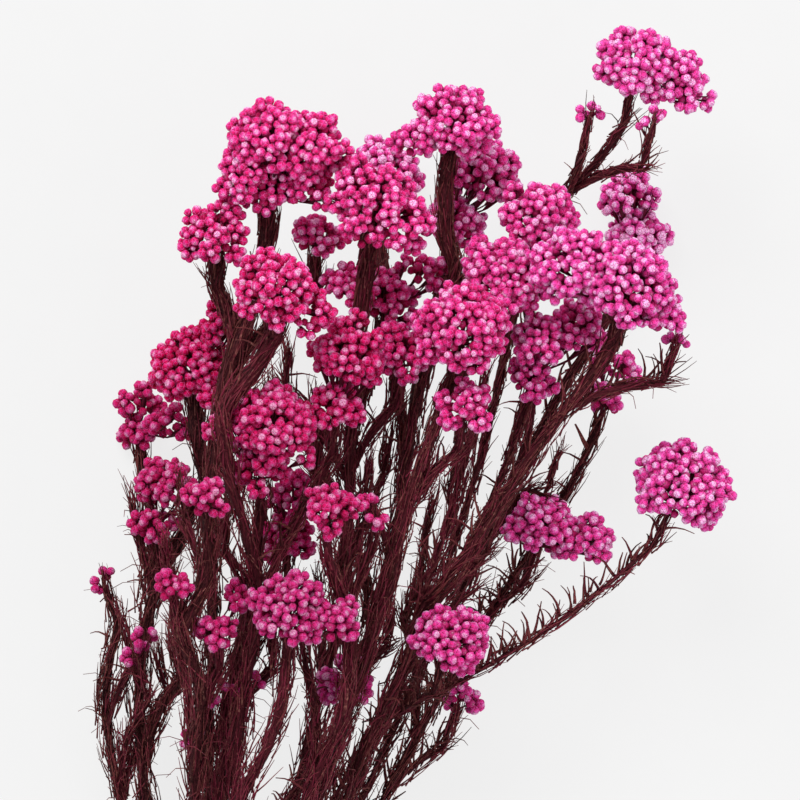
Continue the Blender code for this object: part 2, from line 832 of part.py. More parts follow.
def make_stem(main, sides, space, collection, material):
    """A stem: its main shoot, with side shoots and needles fused to it."""
    name = "stem_" + main.stem
    kept = straightened(main.points)
    radii = main.radii()
    base = tube(name, main.points[kept], radii[kept], 1, collection)
    more = make_collection(name + "_growth")
    for number, side in enumerate(sides):
        kept = straightened(side.points)
        radii = side.radii()
        tube(f"{name}_side_{number}", side.points[kept], radii[kept], 0, more)
    for shoot in [main] + sides:
        for root, tip in needle_lines(shoot, space):
            make_needle(f"{name}_needle", root, tip, more)
    fuse(base, more)
    rest_flat(base)
    base.data.materials.clear()
    base.data.materials.append(material)
    return base


def make_tie(collection, material):
    """Four turns of twine round the stems, with a knot on top and two short ends."""
    width = TWINE_TURNS * TWINE_WIDTH
    outer = TIE_INNER_RADIUS + TWINE_WIDTH
    valley = TIE_INNER_RADIUS + 0.45 * TWINE_WIDTH
    profile = [(TIE_INNER_RADIUS, -width / 2), (valley, -width / 2)]
    for turn in range(TWINE_TURNS):
        left = -width / 2 + turn * TWINE_WIDTH
        profile += [(outer, left + TWINE_WIDTH / 2), (valley, left + TWINE_WIDTH)]
    profile.append((TIE_INNER_RADIUS, width / 2))
    shape = bmesh.new()
    corners = [shape.verts.new((radius * MM, 0, rise * MM)) for radius, rise in profile]
    rim = [shape.edges.new((a, b)) for a, b in zip(corners, corners[1:] + corners[:1])]
    bmesh.ops.spin(
        shape,
        geom=corners + rim,
        cent=(0, 0, 0),
        axis=(0, 0, 1),
        angle=2 * pi,
        steps=TIE_SIDES,
        use_merge=True,
    )
    bmesh.ops.remove_doubles(shape, verts=shape.verts, dist=MM * 0.01)
    lay_down = Matrix.Translation(to_world(TIE_MIDDLE)) @ Matrix.Rotation(radians(-90), 4, "X")
    bmesh.ops.transform(shape, matrix=lay_down, verts=shape.verts)
    ring = mesh_object("tie", shape, collection)
    more = make_collection("tie_knot")
    top = np.array(TIE_MIDDLE) + [0, 0, TIE_INNER_RADIUS + 0.8 * TWINE_WIDTH]
    knot = bmesh.new()
    place = Matrix.Translation(to_world(top)) @ Matrix.Diagonal((1.25, 1.0, 0.8, 1))
    bmesh.ops.create_icosphere(knot, subdivisions=1, radius=KNOT_RADIUS * MM, matrix=place)
    mesh_object("knot", knot, more)
    for hand in (-1, 1):
        line = [
            top,
            top + [hand * 0.4 * TWINE_END_LENGTH, 2.5, 0.9],
            top + [hand * 0.8 * TWINE_END_LENGTH, 7.0, -1.6],
            top + [hand * 0.95 * TWINE_END_LENGTH, 11.0, -5.0],
        ]
        tube(f"twine_end_{hand}", line, [0.9, 0.9, 0.9, 0.8], 0, more)
    fuse(ring, more)
    rest_flat(ring)
    ring.data.materials.clear()
    ring.data.materials.append(material)
    return ring


def main():
    for old in list(bpy.data.objects):
        bpy.data.objects.remove(old)
    bunch = make_collection("dried_rice_flower")
    buds = make_material("buds", BUD_COLOUR, 0.75)
    stems = make_material("stems", STEM_COLOUR, 0.8)
    twine = make_material("twine", TWINE_COLOUR, 0.9)
    heads, mains, sides = lay_out()
    space = NeedleSpace(list(heads.values()), mains + sides)
    for shoot in mains:
        own = [side for side in sides if side.stem == shoot.stem]
        make_stem(shoot, own, space, bunch, stems)
    for head in heads.values():
        make_head(head, bunch, buds)
    make_tie(bunch, twine)


main()
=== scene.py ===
"""Looks of a tied bunch of dried rice flower, dressed over its CAD nodes.

Sixteen leafy stems fan out from a twine tie and carry forty-three heads of small buds.
Lengths are in millimetres until a mesh is written; +Y runs from the cut ends to the
heads, and the bunch lies on the plane z = 0.
"""

from collections import namedtuple
from math import atan2, cos, pi, radians, sin, sqrt

import bpy
import numpy as np
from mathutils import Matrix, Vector


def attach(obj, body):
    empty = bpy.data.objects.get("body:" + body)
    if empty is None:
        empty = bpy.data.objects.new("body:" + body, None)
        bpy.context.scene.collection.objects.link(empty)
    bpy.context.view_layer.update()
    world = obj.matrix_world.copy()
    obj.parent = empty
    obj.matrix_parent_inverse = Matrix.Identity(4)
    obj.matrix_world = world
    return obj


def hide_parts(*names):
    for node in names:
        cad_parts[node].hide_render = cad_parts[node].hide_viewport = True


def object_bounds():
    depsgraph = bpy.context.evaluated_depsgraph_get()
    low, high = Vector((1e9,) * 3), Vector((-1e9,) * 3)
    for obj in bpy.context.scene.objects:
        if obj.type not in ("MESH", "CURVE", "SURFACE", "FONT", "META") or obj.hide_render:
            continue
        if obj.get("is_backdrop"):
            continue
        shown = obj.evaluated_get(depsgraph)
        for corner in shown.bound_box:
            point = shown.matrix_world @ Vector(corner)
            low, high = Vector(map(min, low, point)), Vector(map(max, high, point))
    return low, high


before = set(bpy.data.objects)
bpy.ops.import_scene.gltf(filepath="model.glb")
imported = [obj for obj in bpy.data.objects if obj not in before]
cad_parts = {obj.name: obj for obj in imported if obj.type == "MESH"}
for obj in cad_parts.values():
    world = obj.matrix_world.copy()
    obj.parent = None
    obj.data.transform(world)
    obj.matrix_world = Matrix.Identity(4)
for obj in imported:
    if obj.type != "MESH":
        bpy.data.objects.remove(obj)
cad_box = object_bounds()

# The lie of the bunch. Rice flower is cut as leafy stems, dyed, dried and tied, and laid
# down it spreads as a fan from the twine. Every stem and head lies where its CAD node
# does, so the same named places are settled in the same way.

# Every stem: the points that its main shoot passes above the tie, and its heads.
# A head is one or more lobes, each (x, y, z, width). The first head ends the main
# shoot, and the others end side shoots.
BUNCH = {
    "01": (
        [(-22, -128, 38), (-4, -99, 48), (26, -88, 53), (58, -66, 56)],
        {"a": [(90, -28, 58, 32)], "b": [(16, -77, 76, 25)]},
    ),
    "02": (
        [(-5, -128, 22), (22, -80, 30)],
        {
            "a": [(66, -1, 32, 14), (70, 10, 30, 17)],
            "b": [(46, -42, 40, 24), (60, -46, 42, 19)],
            "c": [(20, -97, 16, 14)],
        },
    ),
    "03": (
        [(-16, -128, 30), (10, -70, 40), (31, 0, 38), (44, 56, 34)],
        {
            "a": [(76, 107, 60, 28), (88, 101, 58, 23)],
            "b": [(61, 91, 60, 7)],
            "c": [(81, 88, 70, 9)],
        },
    ),
    "04": (
        [(-18, -128, 52), (12, -66, 72), (46, -12, 84)],
        {
            "a": [(72, 35, 94, 30), (54, 42, 92, 27), (82, 27, 90, 17)],
            "b": [(88, 18, 80, 7)],
            "c": [(42, 6, 66, 18), (45, 18, 70, 19), (57, 23, 64, 20)],
        },
    ),
    "05": (
        [(-12, -128, 18), (20, -60, 24), (50, 0, 22)],
        {"a": [(77, 53, 8.4, 21), (74, 66, 10.4, 20)], "b": [(44, 58, 62, 26)]},
    ),
    "06": (
        [(-28, -128, 34), (-6, -64, 44), (5, 0, 54)],
        {
            "a": [(17, 88, 66, 27), (4, 83, 64, 16)],
            "b": [(17, 57, 40, 21), (27, 72, 38, 25)],
            "c": [(-5, 73, 10.2, 25)],
        },
    ),
    "07": (
        [(-26, -128, 62), (-4, -64, 84), (6, -20, 92)],
        {
            "a": [(20, 22, 104, 31)],
            "b": [(34, 38, 80, 29)],
            "c": [(21, -2, 96, 19)],
        },
    ),
    "08": (
        [(-34, -128, 44), (-17, -64, 56), (-16, 0, 62)],
        {
            "a": [(-11, 65, 84, 27), (-2, 58, 86, 21), (-15, 55, 88, 17)],
            "b": [(-5, 32, 52, 21), (-16, 37, 50, 18), (8, 41, 52, 16)],
            "c": [(0, 15, 64, 22)],
        },
    ),
    "09": (
        [(-62, -128, 36), (-60, -64, 50), (-58, 0, 66)],
        {
            "a": [
                (-41, 66, 72, 24), (-40, 79, 78, 29), (-27, 77, 80, 24),
                (-49, 67, 76, 20), (-28, 66, 76, 19),
            ],
            "b": [(-58, 54, 72, 23)],
            "c": [(-27, 52, 48, 18)],
        },
    ),
    "10": (
        [(-54, -128, 60), (-46, -64, 82), (-48, 0, 100)],
        {
            "a": [(-40, 35, 112, 26), (-28, 27, 106, 18)],
            "b": [(-21, -3, 84, 20), (-17, 14, 90, 25)],
        },
    ),
    "11": (
        [(-84, -128, 26), (-82, -64, 26)],
        {
            "a": [(-67, 10, 38, 27), (-57, 0, 44, 17), (-56, 23, 44, 19)],
            "b": [(-85, -12, 5.6, 15), (-84, -2, 8.6, 17), (-75, -8, 17, 17)],
            "c": [(-79, -41, 30, 15), (-75, -28, 32, 20)],
        },
    ),
    "12": (
        [(-58, -128, 46), (-50, -70, 64)],
        {
            "a": [(-44, -22, 92, 20), (-40, -9, 98, 29), (-55, -10, 94, 15)],
            "b": [(-36, -45, 56, 19), (-34, -31, 56, 18)],
        },
    ),
    "13": (
        [(-66, -128, 62), (-62, -90, 84)],
        {
            "a": [(-62, -31, 114, 16)],
            "b": [(-70, -60, 98, 14)],
            "c": [(-61, -73, 88, 15), (-53, -63, 86, 11)],
        },
    ),
    "14": (
        [(-30, -128, 72), (-14, -90, 92)],
        {"a": [(-22, -35, 112, 18)], "b": [(-8, -36, 92, 12)]},
    ),
    "15": (
        [(-92, -128, 20), (-97, -90, 22)],
        {
            "a": [(-95, -59, 26, 9)],
            "b": [(-85, -83, 40, 9), (-81, -77, 42, 8)],
            "c": [(-66, -109, 52, 10)],
        },
    ),
    "16": (
        [(-52, -126, 80), (-36, -100, 92)],
        {
            "a": [(-35, -67, 102, 25), (-21, -71, 100, 17)],
            "b": [(-17, -91, 60, 19)],
            "c": [(-56, -95, 66, 9), (-47, -92, 66, 9)],
        },
    ),
}


# The heads' places. Each head is a dome of buds on its shoot's tip, or several grown into
# one. It faces out along the fan, and more upwards the higher it lies. Heads that would
# touch are parted, mostly by raising or lowering them.

# Drops, depths and growth are shares of a lobe's half width, and the rest is millimetres.
SEAT_DROP = 0.62
SEAT_EXTRA = 1.0
TIP_RADII = (0.55, 2.6)
TIP_GROWTH = 0.14
TIP_BALLS = (4.0, 10.0)
TIP_ROOM = 2.8
LOBE_SPLAY = 0.35
LOBE_FLATNESS = 0.88
LOBE_DEPTH = 0.9
LOWEST_LOBE = 1.0
HEAD_GAP = 1.0
HEIGHT_MOST = 116.0
FAN_HUB = (-45.0, -180.0)
FAN_SHARE = 0.6
UPWARD_SHARE = 0.4
TILT_LOW = 0.0
TILT_HIGH = 48.0

# Heads that the bunch rests on: they keep their height.
RESTING = ("05_a", "06_c", "11_b")

# Rounds of parting the heads, and how much of an overlap each takes away.
HEAD_ROUNDS = 160
HEAD_PUSH = 0.3
HEAD_PUSH_WAYS = (0.35, 0.35, 1.0)


def unit(vector):
    """A vector of unit length."""
    return vector / np.linalg.norm(vector)


def head_axis(middle):
    """The way a head faces: out along the fan, and turned up the higher it lies."""
    fan = unit(np.array(middle[:2]) - np.array(FAN_HUB))
    fan = unit(FAN_SHARE * fan + UPWARD_SHARE * np.array([0.0, 1.0]))
    tilt = radians(TILT_LOW + (TILT_HIGH - TILT_LOW) * middle[2] / HEIGHT_MOST)
    return np.array([fan[0] * cos(tilt), fan[1] * cos(tilt), sin(tilt)])


class Head:
    """One head: its lobes, the way it faces, and the seat on its shoot's tip."""

    def __init__(self, name, lobes):
        self.name = name
        self.middles = np.array([lobe[:3] for lobe in lobes], float)
        self.half_widths = np.array([lobe[3] / 2 for lobe in lobes], float)
        self.axis = head_axis(self.middles[0])
        self.rests = name in RESTING

    def lobe_axis(self, lobe):
        """The first lobe faces as the head does, and the others splay away from it."""
        if lobe == 0:
            return self.axis
        return unit(self.axis + LOBE_SPLAY * unit(self.middles[lobe] - self.middles[0]))

    def seat(self):
        """Where the shoot's tip ends, under the first lobe."""
        drop = SEAT_DROP * self.half_widths[0] + SEAT_EXTRA
        return self.middles[0] - self.axis * drop

    def tip_radius(self):
        return min(TIP_RADII[1], TIP_RADII[0] + TIP_GROWTH * self.half_widths[0])

    def keep_out(self):
        """Balls that stand for the head and the straight tip under it."""
        tip = [self.seat() - self.axis * back for back in TIP_BALLS]
        middles = np.vstack([self.middles, tip])
        return middles, np.concatenate([self.half_widths, [TIP_ROOM, TIP_ROOM]])


def flattened_length(gaps, axes):
    """Lengths of the gaps, where a lobe counts as flatter along its axis."""
    along = np.sum(gaps * axes, axis=-1)
    across = np.sum(gaps * gaps, axis=-1) - along**2
    return np.sqrt(np.maximum(across, 0) + (along / LOBE_FLATNESS) ** 2)


def settle_heads(heads):
    """Part the heads that touch, mostly by raising or lowering them."""
    for _ in range(HEAD_ROUNDS):
        balls = [head.keep_out() for head in heads]
        moves = np.zeros((len(heads), 3))
        for i, (middles_i, radii_i) in enumerate(balls):
            for j in range(i + 1, len(heads)):
                middles_j, radii_j = balls[j]
                gaps = middles_j[None, :, :] - middles_i[:, None, :]
                axis = unit(heads[i].axis + heads[j].axis)
                need = radii_i[:, None] + radii_j[None, :] + HEAD_GAP
                short = need - flattened_length(gaps, axis)
                worst = np.unravel_index(np.argmax(short), short.shape)
                if short[worst] <= 0:
                    continue
                way = gaps[worst] * np.array(HEAD_PUSH_WAYS)
                way = unit(way + np.array([0, 0, 0.01]))
                moves[i] -= way * short[worst] * HEAD_PUSH
                moves[j] += way * short[worst] * HEAD_PUSH
        for head, move in zip(heads, moves):
            if head.rests:
                move[2] = 0
            head.middles += move
            lowest = np.min(head.middles[:, 2] - LOBE_DEPTH * head.half_widths)
            highest = np.max(head.middles[:, 2])
            if not head.rests:
                head.middles[:, 2] += max(0, LOWEST_LOBE - lowest)
                head.middles[:, 2] -= max(0, highest - HEIGHT_MOST)


# The stems' routes. A stem rises from its cut end through the tie and on to its first
# head. Its side shoots fork off where the way to their own heads is easiest, and they
# bend clear of each other and of every head as they grow.

# The tie, and the cut ends below it. Slots are rings of stems: how many, and their radius.
TIE_MIDDLE = (-48.0, -233.0, 12.05)
CUT_LENGTH = 84.0
CUT_SPREAD = 1.12
CUT_STAGGER = 9.0
STRAIGHT_BELOW_TIE = 30
STRAIGHT_ABOVE_TIE = 9
INNER_SLOTS = (5, 4.0)
OUTER_SLOTS = (10, 8.0)
SLOT_START = 0.25

# Stems: radii of the woody core, and the room that a leafy shoot keeps round its middle.
BARE_RADIUS = 1.75
LEAFY_RADIUS = 2.1
SIDE_RADIUS = 1.5
TWIG_TIP_RADIUS = 0.8
LEAFY_FROM_Y = -200.0
LEAFY_WITHIN = 15
BARE_ROOM = 2.0
LEAFY_ROOM = 3.0
SIDE_ROOM = 2.7
ROOM_ABOVE_TIE = 8
ROOM_WITHIN = 35
FLOOR_CLEARANCE = 3.6
STEP = 5.0
LAST_STRAIGHT = 12.0
FORK_ANGLE = radians(38)
FORK_COST = 400.0
LOWEST_FORK_Y = -165.0
FLARE_LENGTH = 25.0

# Leafy side shoots that end without a head: the stem and the tip of each.
TWIGS = [
    ("02", (4, -62, 30)),
    ("03", (18, -20, 38)),
    ("04", (30, -40, 60)),
    ("05", (36, -30, 36)),
    ("06", (8, -20, 50)),
    ("07", (-18, -44, 72)),
    ("08", (-36, 14, 60)),
    ("08", (-4, -14, 44)),
    ("08", (-26, -60, 44)),
    ("09", (-42, 2, 48)),
    ("09", (-70, -30, 48)),
    ("10", (-56, -40, 88)),
    ("11", (-86, -34, 24)),
    ("12", (-46, -58, 48)),
    ("13", (-75, -48, 62)),
    ("14", (-30, -72, 84)),
    ("15", (-78, -84, 28)),
    ("06", (-28, -2, 40)),
    ("04", (27, 6, 54)),
    ("06", (-10, -22, 62)),
    ("05", (50, -20, 44)),
    ("04", (10, -34, 58)),
    ("08", (-26, -14, 56)),
    ("15", (-89, -74, 36)),
    ("11", (-73, -80, 46)),
    ("09", (-41, -76, 56)),
    ("06", (-3, -70, 60)),
    ("03", (25, -52, 40)),
]

# Rounds of bending the shoots, and what each does.
SHOOT_ROUNDS = 240
SHOOT_PUSH = 0.35
SHOOT_PUSH_BY_HEAD = 0.5
PUSH_BY_OWN_LOBE = 0.6
ROOM_AT_HEAD = 0.4
OWN_TIP_POINTS = 4
LOOK_EVERY = 8
LOOK_BEYOND = 5
EASE = 0.4
EASE_LAST = 0.08
PULL_BACK = 0.012


class Tip:
    """The end of a leafy shoot that carries no head."""

    def __init__(self, name, point):
        self.name = name
        self.point = np.array(point, float)
        self.axis = head_axis(self.point)

    def seat(self):
        return self.point

    def tip_radius(self):
        return TWIG_TIP_RADIUS


def smooth_route(route, step=STEP):
    """Points a step apart on a smooth curve through the route's points."""
    route = np.array(route, float)
    knots = np.cumsum(np.linalg.norm(np.diff(route, axis=0), axis=1))
    knots = np.concatenate([[0], knots])
    slopes = np.gradient(route, knots, axis=0)
    at = np.linspace(0, knots[-1], int(knots[-1] * max(1, 2 / step)) + 2)
    span = np.clip(np.searchsorted(knots, at, side="right") - 1, 0, len(knots) - 2)
    width = (knots[span + 1] - knots[span])[:, None]
    t = (at - knots[span])[:, None] / width
    fine = (
        route[span] * (2 * t**3 - 3 * t**2 + 1)
        + slopes[span] * width * (t**3 - 2 * t**2 + t)
        + route[span + 1] * (3 * t**2 - 2 * t**3)
        + slopes[span + 1] * width * (t**3 - t**2)
    )
    run = np.cumsum(np.linalg.norm(np.diff(fine, axis=0), axis=1))
    run = np.concatenate([[0], run])
    even = np.linspace(0, run[-1], max(3, int(round(run[-1] / step)) + 1))
    return np.column_stack([np.interp(even, run, fine[:, k]) for k in range(3)])


def tie_slots():
    """Places of the stems across the tie, from the middle outwards."""
    slots = [(0.0, 0.0)]
    for count, radius in (INNER_SLOTS, OUTER_SLOTS):
        for k in range(count):
            turn = 2 * pi * (k + SLOT_START) / count
            slots.append((radius * cos(turn), radius * sin(turn)))
    return np.array(slots)


def deal_slots():
    """Give each stem the slot whose bearing is nearest to its own above the tie."""
    names = list(BUNCH)
    above = np.array([(BUNCH[name][0][0][0], BUNCH[name][0][0][2]) for name in names])
    offsets = above - above.mean(axis=0)
    ranked = sorted(range(len(names)), key=lambda k: np.linalg.norm(offsets[k]))
    slots = tie_slots()
    dealt = {names[ranked[0]]: slots[0]}
    inner = INNER_SLOTS[0] + 1
    for ring, members in ((slots[1:inner], ranked[1:inner]), (slots[inner:], ranked[inner:])):
        bearing = sorted(members, key=lambda k: atan2(offsets[k][1], offsets[k][0]))
        turned = sorted(ring, key=lambda slot: atan2(slot[1], slot[0]))
        starts = []
        for start in range(len(ring)):
            rolled = turned[start:] + turned[:start]
            cost = sum(
                -np.dot(unit(offsets[k]), unit(slot)) for k, slot in zip(bearing, rolled)
            )
            starts.append((cost, start))
        start = min(starts)[1]
        rolled = turned[start:] + turned[:start]
        for k, slot in zip(bearing, rolled):
            dealt[names[k]] = slot
    return dealt


def share_past(value, start, width):
    """How far a value has passed a start, as a share of a width, from 0 to 1."""
    return np.clip((value - start) / width, 0, 1)


class Shoot:
    """A main shoot or a side shoot: its middle line and the stem it belongs to."""

    def __init__(self, stem, head, points, is_main, fixed_start):
        self.stem = stem
        self.head = head
        self.points = points
        self.is_main = is_main
        back = np.linalg.norm(points - points[-1], axis=1)
        self.fixed = back < LAST_STRAIGHT + 0.5
        self.fixed[0] = True
        self.fixed |= fixed_start

    def room(self):
        """Room to keep round each point."""
        if not self.is_main:
            return np.full(len(self.points), SIDE_ROOM)
        leafy = share_past(self.points[:, 1] - TIE_MIDDLE[1], ROOM_ABOVE_TIE, ROOM_WITHIN)
        return BARE_ROOM + (LEAFY_ROOM - BARE_ROOM) * leafy

    def radii(self):
        """Radius of the woody core at each point."""
        if self.is_main:
            leafy = share_past(self.points[:, 1], LEAFY_FROM_Y, LEAFY_WITHIN)
            radii = BARE_RADIUS + (LEAFY_RADIUS - BARE_RADIUS) * leafy
        else:
            radii = np.full(len(self.points), SIDE_RADIUS)
        back = np.linalg.norm(self.points - self.points[-1], axis=1)
        flare = np.clip(1 - back / FLARE_LENGTH, 0, 1)
        return radii + (self.head.tip_radius() - radii) * flare


def main_shoots(heads):
    """Main shoots: from the cut end, through the tie, to the first head's seat."""
    tie = np.array(TIE_MIDDLE)
    shoots = []
    dealt = deal_slots()
    for number, (name, (via, _)) in enumerate(BUNCH.items()):
        head = heads[name + "_a"]
        across = np.array([dealt[name][0], 0.0, dealt[name][1]])
        stagger = CUT_STAGGER * (number * 7 % 16) / 16
        cut = tie + across * CUT_SPREAD - np.array([0, CUT_LENGTH - stagger, 0])
        route = [cut, tie + across - [0, STRAIGHT_BELOW_TIE, 0], tie + across]
        route.append(tie + across + [0, STRAIGHT_ABOVE_TIE, 0])
        route += [np.array(point, float) for point in via]
        route += [head.seat() - head.axis * LAST_STRAIGHT, head.seat()]
        points = smooth_route(route)
        points[-3] = head.seat() - head.axis * LAST_STRAIGHT
        points[-2] = head.seat() - head.axis * LAST_STRAIGHT / 2
        at_tie = np.abs(points[:, 1] - tie[1]) < STRAIGHT_ABOVE_TIE
        below = points[:, 1] < tie[1]
        shoots.append(Shoot(name, head, points, True, at_tie | below))
    return shoots


def side_shoot(main, head):
    """A side shoot that leaves its stem where the way to the head's seat is easiest."""
    target = head.seat() - head.axis * LAST_STRAIGHT
    tangents = np.gradient(main.points, axis=0)
    best = None
    for start, tangent in list(zip(main.points, tangents))[1:-3]:
        reach = target - start
        distance = np.linalg.norm(reach)
        if start[1] < LOWEST_FORK_Y or distance < LAST_STRAIGHT:
            continue
        turn = np.arccos(np.clip(np.dot(unit(reach), unit(tangent)), -1, 1))
        cost = distance + FORK_COST * max(0, turn - FORK_ANGLE)
        if best is None or cost < best[0]:
            best = (cost, start, unit(tangent), distance)
    _, start, along, distance = best
    handle = (distance + LAST_STRAIGHT) / 3
    corners = [start, start + along * handle, head.seat() - head.axis * handle, head.seat()]
    t = np.linspace(0, 1, 24)[:, None]
    line = (
        corners[0] * (1 - t) ** 3
        + corners[1] * 3 * t * (1 - t) ** 2
        + corners[2] * 3 * t**2 * (1 - t)
        + corners[3] * t**3
    )
    points = smooth_route(line)
    points[-3] = head.seat() - head.axis * LAST_STRAIGHT
    points[-2] = head.seat() - head.axis * LAST_STRAIGHT / 2
    return Shoot(main.stem, head, points, False, np.zeros(len(points), bool))


def settle_shoots(moving, still, heads):
    """Bend the moving shoots clear of other stems' shoots and of every head."""
    shoots = moving + still
    points = np.vstack([shoot.points for shoot in shoots])
    rest = points.copy()
    room = np.concatenate([shoot.room() for shoot in shoots])
    stem = np.concatenate([[int(s.stem)] * len(s.points) for s in shoots])
    held = np.concatenate(
        [s.fixed if s in moving else np.ones(len(s.points), bool) for s in shoots]
    )
    ends = np.cumsum([0] + [len(s.points) for s in shoots])
    inner = np.concatenate([np.arange(a + 1, b - 1) for a, b in zip(ends, ends[1:])])
    own = {}
    for shoot, start, end in zip(shoots, ends, ends[1:]):
        own.setdefault(shoot.head.name, []).append((start, end))
    for turn in range(SHOOT_ROUNDS):
        if turn % LOOK_EVERY == 0:
            gaps = points[None, :, :] - points[:, None, :]
            reach = room[:, None] + room[None, :] + LOOK_BEYOND
            near = np.sum(gaps**2, axis=2) < reach**2
            near &= stem[:, None] != stem[None, :]
            first, second = np.nonzero(np.triu(near))
        gap = points[second] - points[first]
        distance = np.linalg.norm(gap, axis=1) + 1e-9
        short = np.maximum(room[first] + room[second] - distance, 0)
        push = gap * (SHOOT_PUSH * short / distance)[:, None]
        moves = np.zeros_like(points)
        np.add.at(moves, first, -push)
        np.add.at(moves, second, push)
        for head in heads:
            for lobe, (middle, half) in enumerate(zip(head.middles, head.half_widths)):
                gaps = points - middle
                size = flattened_length(gaps, head.axis)
                short = np.maximum(half + room + ROOM_AT_HEAD - size, 0)
                for start, end in own.get(head.name, []):
                    short[end - OWN_TIP_POINTS : end] = 0
                    if lobe == 0:
                        short[start : end - OWN_TIP_POINTS] *= PUSH_BY_OWN_LOBE
                distance = np.linalg.norm(gaps, axis=1) + 1e-9
                moves += gaps * (SHOOT_PUSH_BY_HEAD * short / distance)[:, None]
        ease = EASE * (1 - turn / SHOOT_ROUNDS) + EASE_LAST
        moves[inner] += ease * ((points[inner - 1] + points[inner + 1]) / 2 - points[inner])
        moves += PULL_BACK * (rest - points)
        moves[held] = 0
        points = points + moves
        low = ~held & (points[:, 2] < FLOOR_CLEARANCE)
        points[low, 2] = FLOOR_CLEARANCE
    for shoot, start, end in zip(shoots, ends, ends[1:]):
        if shoot in moving:
            shoot.points = points[start:end]


def lay_out():
    """Work out where every head and shoot lies."""
    heads = {}
    for stem, (_, members) in BUNCH.items():
        for letter, lobes in members.items():
            name = f"{stem}_{letter}"
            heads[name] = Head(name, lobes)
    settle_heads(list(heads.values()))
    mains = main_shoots(heads)
    settle_shoots(mains, [], list(heads.values()))
    sides = []
    for main in mains:
        for letter in list(BUNCH[main.stem][1])[1:]:
            sides.append(side_shoot(main, heads[f"{main.stem}_{letter}"]))
    settle_shoots(sides, mains, list(heads.values()))
    stems = {main.stem: main for main in mains}
    twigs = []
    for number, (stem, point) in enumerate(TWIGS):
        twigs.append(side_shoot(stems[stem], Tip(f"twig_{number}", point)))
    settle_shoots(twigs, mains + sides, list(heads.values()))
    return heads, mains, sides + twigs


heads, mains, sides = lay_out()
shoots = mains + sides


# Stem wood. Each stem is one grown shoot with its side shoots: thin dyed wood, with long
# ribs and leaf scars where it is bare and a pale cut end. Higher up the feet of its dried
# leaves are matted round it into a thicker, stringy core.
MM = 0.001
PLAN_MIDDLE = (0.79, -98.92)
WOOD_STEP = 2.5
WOOD_SIDES = 8
RIB_DEPTH = 0.07
MAT_RIB_DEPTH = 0.16
MAT_TWIST = 0.05
WOOD_WOBBLE = 0.35
WOBBLE_WAVE = 0.11
WOBBLE_ENDS = 20
SWELLING = 0.08
SWELLING_WAVE = 0.45
MAT_FROM_Y = -196.0
MAT_WITHIN = 30
MAT_THICKEST = 1.0
MAT_AT_HEAD = 0.8
HEAD_LEVEL_Y = 70
PARTED_BELOW_Y = 20.0
PARTED_WITHIN = 55.0
PARTED_THINNING = 0.42
FLUSHED_AT_Z = 85

# How full each stem's mat of leaves is.
FULLNESS = {
    "01": 0.62, "02": 1.0, "03": 0.68, "04": 1.1, "05": 0.85, "06": 1.25, "07": 1.2, "08": 1.3,
    "09": 1.5, "10": 1.4, "11": 1.55, "12": 1.5, "13": 1.55, "14": 1.3, "15": 1.15, "16": 1.45,
}

rng = np.random.default_rng(11)


def linear(red, green, blue):
    """A colour of a display, 0 to 255, as a shader takes it."""
    steps = np.array([red, green, blue]) / 255
    return (*(((steps + 0.055) / 1.055) ** 2.4), 1.0)


def finish_tree(name, roughness, specular):
    """A new material with a Principled shader: the material, its nodes and the shader."""
    material = bpy.data.materials.new(name)
    material.use_nodes = True
    tree = material.node_tree
    shader = tree.nodes["Principled BSDF"]
    shader.inputs["Roughness"].default_value = roughness
    shader.inputs["Specular IOR Level"].default_value = specular
    return material, tree, shader


def feed(tree, socket, value):
    """Give a socket a number, or another socket's output."""
    if isinstance(value, bpy.types.NodeSocket):
        tree.links.new(value, socket)
    else:
        socket.default_value = value


def number(tree, operation, *values):
    """A Math node's result."""
    node = tree.nodes.new("ShaderNodeMath")
    node.operation = operation
    for socket, value in zip(node.inputs, values):
        feed(tree, socket, value)
    return node.outputs[0]


def times(tree, first, second):
    return number(tree, "MULTIPLY", first, second)


def plus(tree, first, second):
    return number(tree, "ADD", first, second)


def minus(tree, first, second):
    return number(tree, "SUBTRACT", first, second)


def blend_of(tree, share, first, second):
    """A mix of two colours."""
    node = tree.nodes.new("ShaderNodeMix")
    node.data_type = "RGBA"
    feed(tree, node.inputs["Factor"], share)
    feed(tree, node.inputs[6], first)
    feed(tree, node.inputs[7], second)
    return node.outputs[2]


def ramp_of(tree, value, low, high):
    """A value eased from 0 to 1 between two bounds."""
    node = tree.nodes.new("ShaderNodeMapRange")
    node.interpolation_type = "SMOOTHSTEP"
    feed(tree, node.inputs["Value"], value)
    node.inputs["From Min"].default_value = low
    node.inputs["From Max"].default_value = high
    return node.outputs["Result"]


def noise_of(tree, vector, scale, detail):
    """A noise value between 0 and 1."""
    node = tree.nodes.new("ShaderNodeTexNoise")
    feed(tree, node.inputs["Vector"], vector)
    node.inputs["Scale"].default_value = scale
    node.inputs["Detail"].default_value = detail
    return node.outputs["Fac"]


def vector_of(tree, *values):
    """A vector from three numbers."""
    node = tree.nodes.new("ShaderNodeCombineXYZ")
    for socket, value in zip(node.inputs, values):
        feed(tree, socket, value)
    return node.outputs[0]


def parts_of(tree, output):
    """The three numbers of a vector or colour."""
    node = tree.nodes.new("ShaderNodeSeparateXYZ")
    tree.links.new(output, node.inputs[0])
    return node.outputs


def tint_of(tree):
    """The three numbers of a piece's tint attribute."""
    node = tree.nodes.new("ShaderNodeAttribute")
    node.attribute_name = "tint"
    return parts_of(tree, node.outputs["Vector"])


def place_of(tree):
    return tree.nodes.new("ShaderNodeTexCoord").outputs["Object"]


